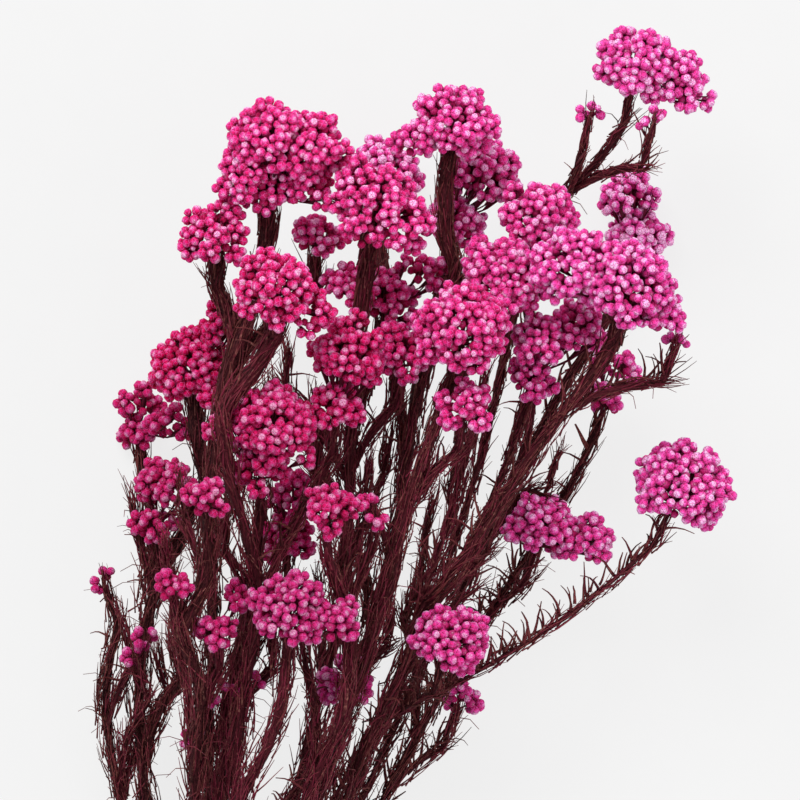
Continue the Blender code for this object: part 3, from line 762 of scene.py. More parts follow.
def raise_by(tree, shader, height, distance):
    """Bump the shader's surface by a height."""
    node = tree.nodes.new("ShaderNodeBump")
    node.inputs["Distance"].default_value = distance
    feed(tree, node.inputs["Height"], height)
    tree.links.new(node.outputs["Normal"], shader.inputs["Normal"])


def uv_of(tree):
    return tree.nodes.new("ShaderNodeUVMap").outputs["UV"]


def wrapped_uv(tree):
    """UV with its turn as a circle, so that no seam shows: the circle and the run."""
    turn, run, _ = parts_of(tree, uv_of(tree))
    angle = times(tree, turn, 2 * pi)
    circle = number(tree, "COSINE", angle), number(tree, "SINE", angle)
    return circle, run


def wood_finish():
    """Dyed bark with long ribs, pale scars and worn streaks, or dark matted leaf feet."""
    material, tree, shader = finish_tree("dyed_bark", 0.72, 0.1)
    matted, flush, _ = tint_of(tree)
    circle, run = wrapped_uv(tree)
    along = times(tree, run, 0.035)
    streaks = noise_of(tree, vector_of(tree, *circle, along), 5.0, 4.0)
    patches = noise_of(tree, vector_of(tree, *circle, run), 0.12, 3.0)
    pits = tree.nodes.new("ShaderNodeTexVoronoi")
    pits.inputs["Scale"].default_value = 1.6
    scar_run = times(tree, run, 0.5)
    feed(tree, pits.inputs["Vector"], vector_of(tree, *circle, scar_run))
    scars = ramp_of(tree, pits.outputs["Distance"], 0.30, 0.12)
    dark = blend_of(tree, ramp_of(tree, patches, 0.35, 0.65), BARK_BROWN, BARK_WINE)
    worn = blend_of(tree, ramp_of(tree, streaks, 0.45, 0.75), dark, BARK_WORN)
    bare = blend_of(tree, times(tree, scars, 0.35), worn, BARK_SCAR)
    winding = times(tree, run, 0.11)
    strings = noise_of(tree, vector_of(tree, *circle, winding), 6.5, 5.0)
    string_tone = blend_of(tree, ramp_of(tree, strings, 0.42, 0.66), MAT_DARK, MAT_BROWN)
    flushed = times(tree, flush, ramp_of(tree, streaks, 0.35, 0.6))
    mat = blend_of(tree, flushed, string_tone, MAT_WINE)
    tree.links.new(blend_of(tree, matted, bare, mat), shader.inputs["Base Color"])
    relief = plus(tree, streaks, times(tree, scars, -0.6))
    relief = plus(tree, relief, times(tree, matted, strings))
    raise_by(tree, shader, relief, 0.35 * MM)
    return material


def cut_finish():
    """A cut end: pith, pale wood with rays and rings, and a dyed rim."""
    material, tree, shader = finish_tree("cut_wood", 0.8, 0.2)
    circle, run = wrapped_uv(tree)
    rays = noise_of(tree, vector_of(tree, *circle, 0.0), 9.0, 2.0)
    rings = number(tree, "SINE", times(tree, run, 26.0))
    wood = blend_of(tree, times(tree, rays, 0.7), CUT_PALE, CUT_TAN)
    wood = blend_of(tree, times(tree, rings, 0.12), wood, CUT_TAN)
    wood = blend_of(tree, ramp_of(tree, run, 0.26, 0.16), wood, CUT_PITH)
    wood = blend_of(tree, ramp_of(tree, run, 0.74, 0.9), wood, BARK_WINE)
    tree.links.new(wood, shader.inputs["Base Color"])
    raise_by(tree, shader, rays, 0.1 * MM)
    return material


BARK_BROWN = linear(66, 28, 30)
BARK_WINE = linear(92, 28, 42)
BARK_WORN = linear(126, 76, 78)
BARK_SCAR = linear(150, 104, 92)
MAT_DARK = linear(34, 9, 13)
MAT_BROWN = linear(86, 40, 42)
MAT_WINE = linear(98, 28, 44)
CUT_PALE = linear(214, 188, 150)
CUT_TAN = linear(176, 136, 100)
CUT_PITH = linear(122, 84, 62)


# Points, face corners, corner counts, corner UVs, point tints and face finishes.
Shape = namedtuple("Shape", "points corners counts uv tints finishes")


def gather(shapes):
    """Several shapes as one."""
    starts = np.cumsum([0] + [len(shape.points) for shape in shapes])
    moved = [shape._replace(corners=shape.corners + at) for shape, at in zip(shapes, starts)]
    return Shape(*(np.concatenate(parts) for parts in zip(*moved)))


def lengths_along(line):
    """How far along a line each of its points lies."""
    return np.concatenate([[0], np.cumsum(np.linalg.norm(np.diff(line, axis=0), axis=1))])


def rows_to_unit(vectors):
    """Vectors of unit length, one to a row."""
    return vectors / np.linalg.norm(vectors, axis=-1, keepdims=True)


def frames_along(line):
    """The way of a line at each point, and two ways square to it that do not twist."""
    ways = rows_to_unit(np.gradient(line, axis=0))
    start = np.cross(ways[0], [0.31, 0.22, 0.92])
    firsts = np.empty_like(ways)
    for place, way in enumerate(ways):
        start = unit(start - way * np.dot(start, way))
        firsts[place] = start
    return ways, firsts, np.cross(ways, firsts)


def swept(line, radii, sides, ribs=0.0, twist=0.0):
    """A closed tube round a line, with its turn and its length in millimetres as UV."""
    line = np.asarray(line, float)
    _, first, second = frames_along(line)
    run = lengths_along(line)
    rings = len(line)
    turn = 2 * pi * np.arange(sides) / sides
    rib = 1 - np.broadcast_to(ribs, rings)[:, None] * (np.arange(sides) % 2)
    turned = turn + (twist * run)[:, None]
    across = np.cos(turned)[:, :, None] * first[:, None]
    across = across + np.sin(turned)[:, :, None] * second[:, None]
    spread = (np.broadcast_to(radii, rings)[:, None] * rib)[:, :, None]
    points = (line[:, None] + across * spread).reshape(-1, 3)
    points = np.vstack([points, line[0], line[-1]])
    ring, side = np.meshgrid(np.arange(rings - 1), np.arange(sides), indexing="ij")
    after = (side + 1) % sides
    low_row, high_row = ring * sides, (ring + 1) * sides
    walls = np.stack([low_row + side, low_row + after, high_row + after, high_row + side], axis=-1)
    near, far = side / sides, (side + 1) / sides
    low, high = run[ring], run[ring + 1]
    wall_uv = np.stack([near, low, far, low, far, high, near, high], axis=-1)
    rim = np.arange(sides)
    after = (rim + 1) % sides
    foot, top = rings * sides, rings * sides + 1
    last = (rings - 1) * sides
    start_cap = np.stack([np.full(sides, foot), after, rim], axis=-1)
    end_cap = np.stack([np.full(sides, top), last + rim, last + after], axis=-1)
    turns = rim / sides
    nil, one = np.zeros(sides), np.ones(sides)
    start_uv = np.stack([turns, nil, turns + 1 / sides, one, turns, one], axis=-1)
    end_uv = np.stack([turns, nil, turns, one, turns + 1 / sides, one], axis=-1)
    return Shape(
        points,
        np.concatenate([walls.ravel(), start_cap.ravel(), end_cap.ravel()]),
        np.concatenate([np.full(walls.shape[0] * sides, 4), np.full(2 * sides, 3)]),
        np.vstack([wall_uv.reshape(-1, 2), start_uv.reshape(-1, 2), end_uv.reshape(-1, 2)]),
        np.full((len(points), 3), 0.5),
        np.zeros(walls.shape[0] * sides + 2 * sides),
    )


def hang(name, shape, finishes, node):
    """Write a shape as a piece of the bunch that stands for its CAD node."""
    mesh = bpy.data.meshes.new(name)
    places = (shape.points - [*PLAN_MIDDLE, 0]) * MM
    places[:, 2] = np.maximum(places[:, 2], 0)
    mesh.vertices.add(len(places))
    mesh.vertices.foreach_set("co", places.ravel())
    mesh.loops.add(len(shape.corners))
    mesh.loops.foreach_set("vertex_index", shape.corners.astype(np.int32))
    mesh.polygons.add(len(shape.counts))
    starts = np.concatenate([[0], np.cumsum(shape.counts)[:-1]])
    mesh.polygons.foreach_set("loop_start", starts.astype(np.int32))
    mesh.polygons.foreach_set("material_index", shape.finishes.astype(np.int32))
    uv = mesh.uv_layers.new(name="UVMap")
    uv.data.foreach_set("uv", shape.uv.ravel())
    tint = mesh.attributes.new("tint", "FLOAT_VECTOR", "POINT")
    tint.data.foreach_set("vector", shape.tints.ravel())
    mesh.update(calc_edges=True)
    mesh.shade_smooth()
    for finish in finishes:
        mesh.materials.append(finish)
    piece = bpy.data.objects.new(name, mesh)
    bpy.context.scene.collection.objects.link(piece)
    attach(piece, "root")
    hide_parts(node)


def core_of(shoot, line):
    """Radii of the wood with its matted leaf feet, and how matted it is."""
    run = lengths_along(shoot.points)
    reach = lengths_along(line)
    core = np.interp(reach * run[-1] / reach[-1], run, shoot.radii())
    full = FULLNESS[shoot.stem]
    if not shoot.is_main:
        return core * full**0.5, np.ones(len(line))
    matted = share_past(line[:, 1], MAT_FROM_Y, MAT_WITHIN)
    height = share_past(line[:, 1], 0, HEAD_LEVEL_Y)
    thickness = (MAT_THICKEST + (MAT_AT_HEAD - MAT_THICKEST) * height) * full
    return core * (1 + (thickness - 1) * matted), matted


def parted_of(points, matted=1.0):
    """How far the matted core has come apart into strands at each point: more low down."""
    return share_past(points[:, 1], PARTED_BELOW_Y, -PARTED_WITHIN) * matted


def shoot_flush(shoot):
    """How much wine red a shoot shows: more on the bunch's upper side."""
    height = np.mean(shoot.points[:, 2]) / FLUSHED_AT_Z
    change = 0.25 * sin(int(shoot.stem) * 2.4 + 0.9 * shoots.index(shoot))
    return float(np.clip(0.1 + 0.75 * height + change, 0, 1))


def shoots_of(main):
    """A stem's shoots: the main one first, then its side shoots."""
    return [main] + [side for side in sides if side.stem == main.stem]


bark = wood_finish()
cut_wood = cut_finish()
for main in mains:
    limbs = []
    for shoot in shoots_of(main):
        line = smooth_route(shoot.points, WOOD_STEP)
        run = lengths_along(line)
        phase = rng.uniform(0, 2 * pi, 3)
        sway = np.stack([np.sin(run * WOBBLE_WAVE + phase[k]) for k in range(3)], axis=-1)
        sway *= WOOD_WOBBLE * share_past(run, run[-1], -WOBBLE_ENDS)[:, None]
        radii, matted = core_of(shoot, line)
        swell = SWELLING * np.sin(run * SWELLING_WAVE + phase[0])
        radii = radii * (1 + swell * (0.4 + 0.6 * matted))
        radii = radii * (1 - PARTED_THINNING * parted_of(line, matted))
        count = WOOD_SIDES if shoot.is_main else WOOD_SIDES - 2
        ribs = RIB_DEPTH + (MAT_RIB_DEPTH - RIB_DEPTH) * matted
        limb = swept(line + sway, radii, count, ribs, MAT_TWIST)
        limb.tints[:-2, 0] = np.repeat(matted, count)
        limb.tints[-2:, 0] = matted[[0, -1]]
        limb.tints[:, 1] = shoot_flush(shoot)
        if shoot.is_main:
            start_cap = slice(-2 * count, -count)
            limb.finishes[start_cap] = 1
        limbs.append(limb)
    hang(f"stem_{main.stem}_wood", gather(limbs), [bark, cut_wood], "stem_" + main.stem)


# Leaves. Rice flower's leaves are threads about 10 mm long that curl as they dry. Most lie
# matted along the shoot as a woolly rope, some come loose as hooks, and on the upper side
# of leaning shoots they stand up like a comb.
LEAF_LENGTH = 11.5
LEAF_LENGTHS = (0.72, 1.18)
LEAF_THICKNESSES = (0.8, 1.25)
LYING_RADIUS = 0.3
STANDING_RADIUS = 0.64
STANDING_LENGTH = 0.8
LEAF_TAPER = 0.3
LEAF_KINK = 0.3
HOOK_FROM = 0.45
LEAVES_PER_MM = 2.6
GOLDEN_ANGLE = pi * (3 - sqrt(5))
SWING_STRAY = 0.3

# Each shape of a leaf: how far it bends from its foot, and how far its upper half hooks.
LYING_SHAPES = ((20, 0), (34, 0), (5, 20))
LYING_CUTS = 3
LOOSE_SHAPES = ((-30, 90), (30, 50), (-45, 20))
LOOSE_CUTS = 4
STANDING_SHAPES = ((38, -20), (30, 32), (48, 8), (26, -52))
STANDING_CUTS = 5

# How many leaves come loose or stand up, and where. The leaning stems 01 and 02 have the
# fullest combs.
LOOSE_SHARE = 0.03
LOOSE_LOW_DOWN = 0.11
LOOSE_UPWARD = 2
LOOSE_BOUNDS = (0.04, 2.5)
LOW_DOWN_FROM_Y = -15
LOW_DOWN_WITHIN = 70
STANDING_SHARE = 0.012
STANDING_ABOVE = 1.3
COMBS = {"01": 2.4, "02": 1.4, "03": 0.08, "04": 0.55, "05": 0.35}
COMB_ELSEWHERE = 0.35

# The way of a leaf from its shoot, and the side to which it curls.
LYING_ANGLES = (radians(3), radians(15))
LOOSE_ANGLES = (radians(10), radians(30))
STANDING_ANGLES = (radians(38), radians(56))
LYING_SWIRL = 0.09
STANDING_SWIRL = 0.4
LEAF_LIFT = 0.25
CURL_STRAY = 0.3
STANDING_CURL_STRAY = 0.12

# How a leaf takes the dye.
FLUSH_STRAY = (-0.5, 0.6)
FLUSH_WITH_SHOOT = 0.8
STANDING_FLUSH = 0.4

# Where a leaf starts, as a share of the wood's radius, and the strands of a parted mat.
LYING_DEPTHS = (0.8, 1.05)
OPEN_DEPTH = 0.7
STRANDS = 3
STRAND_LAY = 0.035
STRAND_SPREAD = (0.66, 0.42)
STRAND_WAVE = 0.08
STRAND_LAG = 2.1
STRANDS_JOIN = 12
STRAND_THINNING = 0.5


def pattern_of(piece):
    """The arrays of a small shape that was modelled once. Its object goes."""
    mesh = piece.data
    points = np.empty(3 * len(mesh.vertices))
    mesh.vertices.foreach_get("co", points)
    corners = np.empty(len(mesh.loops), np.int32)
    mesh.loops.foreach_get("vertex_index", corners)
    counts = np.empty(len(mesh.polygons), np.int32)
    mesh.polygons.foreach_get("loop_total", counts)
    uv = np.empty(2 * len(mesh.loops))
    mesh.uv_layers.active.data.foreach_get("uv", uv)
    bpy.data.objects.remove(piece)
    return points.reshape(-1, 3), corners, counts, uv.reshape(-1, 2)


def copies(pattern, origins, bases, tints):
    """Many copies of a pattern: each basis holds the ways of its own axes as columns."""
    points, corners, counts, uv = pattern
    placed = origins[:, None] + np.einsum("kij,nj->kni", bases, points)
    starts = np.arange(len(origins))[:, None] * len(points)
    return Shape(
        placed.reshape(-1, 3),
        (corners + starts).ravel(),
        np.tile(counts, len(origins)),
        np.tile(uv, (len(origins), 1)),
        np.repeat(tints, len(points), axis=0),
        np.zeros(len(counts) * len(origins)),
    )


def make_leaf(radius, cuts, bend, hook):
    """One leaf from z = 0 up: tapered, kinked, bent towards +X, its upper half hooked."""
    bpy.ops.object.select_all(action="DESELECT")
    bpy.ops.mesh.primitive_cone_add(
        vertices=3,
        radius1=radius,
        radius2=radius * LEAF_TAPER,
        depth=LEAF_LENGTH,
        location=(0, 0, LEAF_LENGTH / 2),
    )
    leaf = bpy.context.active_object
    bpy.ops.object.mode_set(mode="EDIT")
    for cut in range(1, cuts):
        bpy.ops.mesh.select_all(action="SELECT")
        height = LEAF_LENGTH * cut / cuts
        bpy.ops.mesh.bisect(plane_co=(0, 0, height), plane_no=(0, 0, 1))
        kink = LEAF_KINK * (-1) ** cut * (cut / cuts) * 0.5
        bpy.ops.transform.translate(value=(0, kink, 0))
    bpy.ops.object.mode_set(mode="OBJECT")
    bpy.ops.object.transform_apply()
    for angle, lowest in ((bend, 0.0), (hook, HOOK_FROM)):
        if angle:
            curl = leaf.modifiers.new("curl", "SIMPLE_DEFORM")
            curl.deform_method = "BEND"
            curl.deform_axis = "Y"
            curl.angle = radians(angle)
            curl.limits = (lowest, 1.0)
            bpy.ops.object.modifier_apply(modifier="curl")
    return pattern_of(leaf)


def leaf_finish():
    """Dried leaf: dark brown, flushed with the dye, with paler dusty patches."""
    material, tree, shader = finish_tree("dried_leaf", 0.62, 0.1)
    shade, flush, age = tint_of(tree)
    mottle = noise_of(tree, place_of(tree), 900.0, 3.0)
    dark = blend_of(tree, shade, LEAF_DARK, LEAF_BROWN)
    dyed = blend_of(tree, flush, dark, LEAF_WINE)
    dusty = times(tree, ramp_of(tree, mottle, 0.45, 0.75), age)
    colour = blend_of(tree, dusty, dyed, LEAF_DUSTY)
    tree.links.new(colour, shader.inputs["Base Color"])
    fibres = noise_of(tree, uv_of(tree), 40.0, 2.0)
    raise_by(tree, shader, plus(tree, mottle, fibres), 0.05 * MM)
    return material


def leaf_places(shoot):
    """Roots, bases and tints of a shoot's leaves, and the kind of each."""
    line = smooth_route(shoot.points, 1.0)
    run = lengths_along(line)
    ways, firsts, seconds = frames_along(line)
    full = FULLNESS[shoot.stem]
    count = int(run[-1] * LEAVES_PER_MM * full**0.5)
    reach = (np.arange(count) + rng.uniform(0, 1, count)) / count * run[-1]

    def at(values):
        return np.stack([np.interp(reach, run, values[:, k]) for k in range(3)], axis=-1)

    spots = at(line)
    kept = spots[:, 1] > LEAFY_FROM_Y
    swing = np.arange(count) * GOLDEN_ANGLE + rng.normal(0, SWING_STRAY, count)
    out = at(firsts) * np.cos(swing)[:, None] + at(seconds) * np.sin(swing)[:, None]
    along = rows_to_unit(at(ways))
    aside = np.cross(along, out)
    radii = np.interp(reach, run, core_of(shoot, line)[0])
    above = np.clip(out[:, 1], 0, 1)
    draw = rng.uniform(0, 1, count)
    comb = COMBS.get(shoot.stem, COMB_ELSEWHERE)
    stands = draw < comb * (STANDING_SHARE + STANDING_ABOVE * above**2)
    lowness = share_past(spots[:, 1], LOW_DOWN_FROM_Y, -LOW_DOWN_WITHIN)
    upward = np.clip(1 + LOOSE_UPWARD * out[:, 1], *LOOSE_BOUNDS)
    share = (LOOSE_SHARE + LOOSE_LOW_DOWN * lowness) * upward
    loose = ~stands & (rng.uniform(0, 1, count) < share)
    angle = rng.uniform(*LYING_ANGLES, count) * full**0.5
    angle = np.where(loose, rng.uniform(*LOOSE_ANGLES, count), angle)
    angle = np.where(stands, rng.uniform(*STANDING_ANGLES, count), angle)[:, None]
    swirl = rng.normal(0.5 * LYING_SWIRL, LYING_SWIRL, count)
    swirl = (np.where(stands, STANDING_SWIRL, 1) * swirl)[:, None]
    way = along * np.cos(angle) + out * np.sin(angle) + aside * swirl
    way[stands, 1] += LEAF_LIFT
    way = rows_to_unit(way)
    inward = -out + rng.normal(0, CURL_STRAY, (count, 3))
    inward[stands] = [0, 1, 0] + rng.normal(0, STANDING_CURL_STRAY, (stands.sum(), 3))
    inward = rows_to_unit(inward - way * np.sum(inward * way, axis=1, keepdims=True))
    length = rng.uniform(*LEAF_LENGTHS, count)
    length[stands] *= STANDING_LENGTH
    thickness = rng.uniform(*LEAF_THICKNESSES, count)
    bases = np.stack([inward, np.cross(way, inward), way], axis=-1)
    bases *= np.stack([thickness, thickness, length], axis=-1)[:, None, :]
    flush = rng.uniform(*FLUSH_STRAY, count) + FLUSH_WITH_SHOOT * shoot_flush(shoot)
    flush = np.clip(flush, 0, 1)
    tints = np.stack([rng.uniform(0, 1, count), flush, rng.uniform(0, 1, count)], axis=-1)
    tints[stands, 1] *= STANDING_FLUSH
    depth = np.where(stands | loose, OPEN_DEPTH, rng.uniform(*LYING_DEPTHS, count))
    parted = parted_of(spots) * share_past(reach, run[-1], -STRANDS_JOIN)
    strand = rng.integers(0, STRANDS, count)
    turn = 2 * pi * strand / STRANDS + STRAND_LAY * reach
    off = at(firsts) * np.cos(turn)[:, None] + at(seconds) * np.sin(turn)[:, None]
    sway = np.sin(STRAND_WAVE * reach + STRAND_LAG * strand)
    spread = STRAND_SPREAD[0] + STRAND_SPREAD[1] * sway
    roots = spots + off * (radii * parted * spread)[:, None]
    roots = roots + out * (radii * depth * (1 - STRAND_THINNING * parted))[:, None]
    kind = np.where(stands, 2, np.where(loose, 1, 0))
    return roots[kept], bases[kept], tints[kept], kind[kept]


LEAF_DARK = linear(48, 15, 17)
LEAF_BROWN = linear(114, 54, 54)
LEAF_WINE = linear(122, 36, 58)
LEAF_DUSTY = linear(150, 98, 88)

leaf_patterns = [
    [make_leaf(LYING_RADIUS, LYING_CUTS, *shape) for shape in LYING_SHAPES],
    [make_leaf(LYING_RADIUS, LOOSE_CUTS, *shape) for shape in LOOSE_SHAPES],
    [make_leaf(STANDING_RADIUS, STANDING_CUTS, *shape) for shape in STANDING_SHAPES],
]
dried_leaf = leaf_finish()
for main in mains:
    tufts = []
    for shoot in shoots_of(main):
        roots, bases, tints, kinds = leaf_places(shoot)
        for kind, patterns in enumerate(leaf_patterns):
            picks = rng.integers(0, len(patterns), len(roots))
            for pick, pattern in enumerate(patterns):
                chosen = (kinds == kind) & (picks == pick)
                tufts.append(copies(pattern, roots[chosen], bases[chosen], tints[chosen]))
    hang(f"stem_{main.stem}_leaves", gather(tufts), [dried_leaf], "stem_" + main.stem)


# Heads. Each is a corymb: the shoot's tip parts into branches, each branch carries a small
# domed clump of stalks, and every stalk ends in a closed bud of papery bracts, dyed pink.
# Each bud is painted darker towards its foot and in its creases as shade, and paler at its
# tip as a painted highlight.
BUD_LENGTH = 3.25
BUD_WIDTH = 3.15
BUD_SEGMENTS = 8
BUD_RINGS = 5
BUD_POINT = 0.12
BUD_DENTS = (0.13, 0.17, 0.21)
BUD_SIZES = (0.84, 1.14)
SMALL_BUDS = 0.08
SMALL_SIZE = 0.7
BUD_LEAN = 0.25
BUD_STRAY = 0.3
BUD_CROWDING = 0.86
CROWD_ROUNDS = 12
CROWD_PUSH = 0.35
BRACT_ROWS = 4.0
BRACTS_ROUND = 5.0

# A dome of buds: its rise for its half width, how far down it goes, and how close it packs.
TOP_RISE = 0.86
BUD_SPREAD = radians(124)
BUD_PITCH = 2.9
PACKING = 0.88
INSET_MOST = 0.42
CLUMP_INSET = 3.4
CLUMP_PITCH = 6.7
CLUMP_RADIUS = 2.75
CLUMP_SIZES = (0.86, 1.14)
CLUMP_SPREAD = radians(104)
CLUMP_STRAY = 0.9
CLUMP_COVER = 0.8
FULL_CLUMPS_FROM = 9

# Buds of the layer that shows only in the gaps, painted dark as shade.
FILLED_FROM = 6
INNER_INSET = 4.1
INNER_PITCH = 3.9
INNER_SIZES = (0.8, 1.15)
INNER_SHADE = 0.8

# Stalks, and the branches from a shoot's tip to its clumps.
STALK_RADIUS = 0.26
STALK_IN_BUD = 0.4
BRANCH_RADIUS = 0.6
BRANCH_REACH = 0.62
BRANCH_BOW = 0.35
BRANCH_STEP = 2.5

# How colour lies over the bunch: the hue turns from pink towards purple away from the left
# middle, painted shade darkens heads low on the left, and painted light pales heads high up
# at the back and turns them towards purple. Each bound says where a change starts and how
# far on it is whole.
DEEPEST_DYE = (-42.0, 13.0)
DYE_REACH = 125
HUE_STRAY = 0.06
PAINTED_LIGHT_BELOW_Z = (62, -45)
PAINTED_LIGHT_ABOVE_Y = (10, 40)
PAINTED_LIGHT_HUE = 0.15
PAINTED_LIGHT_PALE = 0.5
SHADED_BELOW_Y = (58, -90)
SHADED_LEFT_OF_X = (45, -60)
PAINTED_SHADE_MOST = 0.5


def make_bud(dent, seed):
    """One bud, its foot at z = 0: a ball dented by its bracts and drawn to a blunt tip."""
    bpy.ops.object.select_all(action="DESELECT")
    bpy.ops.mesh.primitive_uv_sphere_add(
        segments=BUD_SEGMENTS, ring_count=BUD_RINGS, radius=BUD_WIDTH / 2
    )
    bud = bpy.context.active_object
    for vertex in bud.data.vertices:
        vertex.select = vertex.co.z > 0.99 * BUD_WIDTH / 2
    bpy.ops.object.mode_set(mode="EDIT")
    bpy.ops.transform.translate(value=(0, 0, BUD_POINT))
    bpy.ops.mesh.select_all(action="SELECT")
    bpy.ops.transform.vertex_random(offset=dent, uniform=0, normal=0.4, seed=seed)
    height = BUD_LENGTH / BUD_WIDTH
    bpy.ops.transform.resize(value=(1, 1, height), center_override=(0, 0, 0))
    bpy.ops.transform.translate(value=(0, 0, BUD_LENGTH / 2))
    bpy.ops.object.mode_set(mode="OBJECT")
    bpy.ops.object.transform_apply()
    return pattern_of(bud)


def make_small_bud():
    """A bud of few faces for the layer that shows only in the gaps."""
    bpy.ops.object.select_all(action="DESELECT")
    bpy.ops.mesh.primitive_uv_sphere_add(
        segments=5, ring_count=4, radius=BUD_WIDTH / 2, location=(0, 0, BUD_WIDTH / 2)
    )
    bud = bpy.context.active_object
    bpy.ops.object.transform_apply()
    return pattern_of(bud)


def make_stalk():
    """One stalk of unit length from z = 0 up."""
    bpy.ops.object.select_all(action="DESELECT")
    bpy.ops.mesh.primitive_cone_add(
        vertices=3,
        radius1=STALK_RADIUS * 1.1,
        radius2=STALK_RADIUS,
        depth=1,
        location=(0, 0, 0.5),
    )
    stalk = bpy.context.active_object
    bpy.ops.object.transform_apply()
    return pattern_of(stalk)


def bud_finish():
    """Papery bracts, dyed: rows of scales with pale rims over a pink ground, painted darker at the
    foot and in the creases as shade, and pale at the tip as a painted highlight.
    """
    material, tree, shader = finish_tree("dyed_bracts", 0.45, 0.02)
    pale, hue, depth = tint_of(tree)
    turn, rise, _ = parts_of(tree, uv_of(tree))
    row = times(tree, rise, BRACT_ROWS)
    whole = number(tree, "FLOOR", row)
    within = minus(tree, row, whole)
    shifted = plus(tree, times(tree, turn, BRACTS_ROUND), times(tree, whole, 0.5))
    side = number(tree, "ABSOLUTE", minus(tree, number(tree, "FRACT", shifted), 0.5))
    edge = minus(tree, 1.0, times(tree, times(tree, side, side), 3.2))
    off = minus(tree, within, edge)
    rim = minus(tree, ramp_of(tree, off, -0.34, -0.02), ramp_of(tree, off, -0.02, 0.06))
    crease = minus(tree, ramp_of(tree, off, -0.02, 0.05), ramp_of(tree, off, 0.08, 0.45))
    fleck = noise_of(tree, place_of(tree), 1400.0, 3.0)
    # Painted shade: each bud darkens towards its foot, where the gaps between buds lie.
    ground = blend_of(tree, ramp_of(tree, rise, 0.2, 0.66), BUD_PAINTED_SHADE_DEEP, BUD_PINK)
    ground = blend_of(tree, times(tree, hue, 0.26), ground, BUD_RIM_AND_HIGHLIGHT)
    # Painted highlight: a pale crown at each bud's tip, widened by paler buds, flecks and the
    # head's hue.
    lift = times(tree, plus(tree, pale, fleck), 0.22)
    lift = plus(tree, lift, times(tree, hue, 0.12))
    lifted = plus(tree, rise, lift)
    highlight_crown = ramp_of(tree, lifted, 0.84, 1.12)
    colour = blend_of(tree, times(tree, highlight_crown, 0.64), ground, BUD_RIM_AND_HIGHLIGHT)
    # Painted highlight: a small near-white spot at the very tip.
    point = ramp_of(tree, lifted, 1.02, 1.2)
    colour = blend_of(tree, times(tree, point, 0.9), colour, BUD_PAINTED_HIGHLIGHT)
    # Pale bract margins: partly their own papery colour, partly a painted highlight in bright
    # specks.
    colour = blend_of(tree, times(tree, rim, 0.8), colour, BUD_RIM_AND_HIGHLIGHT)
    # Painted shade in the creases between the rows of bracts.
    colour = blend_of(tree, times(tree, crease, 0.85), colour, BUD_PAINTED_SHADE_DEEP)
    # Painted shade: buds of the inner layer, and heads low on the left, are darkened.
    colour = blend_of(tree, times(tree, depth, 0.85), colour, BUD_PAINTED_SHADE_INNER)
    purple = tree.nodes.new("ShaderNodeHueSaturation")
    feed(tree, purple.inputs["Color"], colour)
    feed(tree, purple.inputs["Hue"], plus(tree, 0.5, times(tree, hue, -0.018)))
    tree.links.new(purple.outputs["Color"], shader.inputs["Base Color"])
    shader.inputs["Subsurface Weight"].default_value = 0.18
    shader.inputs["Subsurface Radius"].default_value = (1.0, 0.25, 0.5)
    shader.inputs["Subsurface Scale"].default_value = 0.6 * MM
    relief = plus(tree, times(tree, off, -0.5), times(tree, fleck, 0.3))
    raise_by(tree, shader, minus(tree, relief, crease), 0.17 * MM)
    return material


def stalk_finish():
    """Bud stalks: thin dried stalks, dark wine brown."""
    material, tree, shader = finish_tree("dried_stalk", 0.65, 0.12)
    shade, _, _ = tint_of(tree)
    mottle = noise_of(tree, place_of(tree), 500.0, 2.0)
    flushed = times(tree, plus(tree, shade, mottle), 0.5)
    colour = blend_of(tree, flushed, LEAF_DARK, STALK_WINE)
    tree.links.new(colour, shader.inputs["Base Color"])
    raise_by(tree, shader, mottle, 0.05 * MM)
    return material


# Bud colours: the deep and inner ones are painted shade, the pale one is a painted highlight, and
# the rim one is the bracts' pale margin and also a painted highlight.
BUD_PAINTED_SHADE_DEEP = linear(156, 0, 26)
BUD_PAINTED_SHADE_INNER = linear(148, 0, 32)
BUD_PINK = linear(230, 4, 94)
BUD_PAINTED_HIGHLIGHT = linear(255, 200, 234)
BUD_RIM_AND_HIGHLIGHT = linear(250, 112, 196)
STALK_WINE = linear(120, 30, 62)


def basis_of(axis):
    """Columns: two ways square to an axis, and the axis."""
    first = unit(np.cross(axis, [0.31, 0.22, -0.92]))
    return np.stack([first, np.cross(axis, first), axis], axis=-1)


def even_cap(area, pitch, least, reach, lead, start):
    """Even spots on a unit ball round its top, wound down from there like a sunflower's."""
    count = max(least, int(area / (PACKING * pitch**2)))
    steps = np.arange(count)
    height = 1 - reach * (steps + lead) / count
    turn = steps * GOLDEN_ANGLE + start
    flat = np.sqrt(1 - height**2)
    return np.stack([flat * np.cos(turn), flat * np.sin(turn), height], axis=-1)


def even_dome(head, lobe, inset, pitch, least):
    """Even spots over a lobe's dome, and the way each faces."""
    half = head.half_widths[lobe]
    inset = min(inset, INSET_MOST * half)
    across, rise = half - inset, TOP_RISE * half - TOP_RISE * inset
    reach = 1 - cos(BUD_SPREAD)
    area = pi * across * (across + rise) * reach
    ball = even_cap(area, pitch, least, reach, 0.35, half)
    size = np.array([across, across, rise])
    basis = basis_of(head.lobe_axis(lobe))
    return head.middles[lobe] + (ball * size) @ basis.T, rows_to_unit(ball / size) @ basis.T


def outside_others(head, lobe, spots, inset):
    """Which spots lie outside the head's other lobes."""
    free = np.ones(len(spots), bool)
    for other in range(len(head.middles)):
        if other == lobe:
            continue
        half = head.half_widths[other]
        inset_here = min(inset, INSET_MOST * half)
        local = (spots - head.middles[other]) @ basis_of(head.lobe_axis(other))
        size = np.array([half, half, TOP_RISE * half]) - inset_here
        free &= np.sum((local / size) ** 2, axis=1) > 0.95
    return free


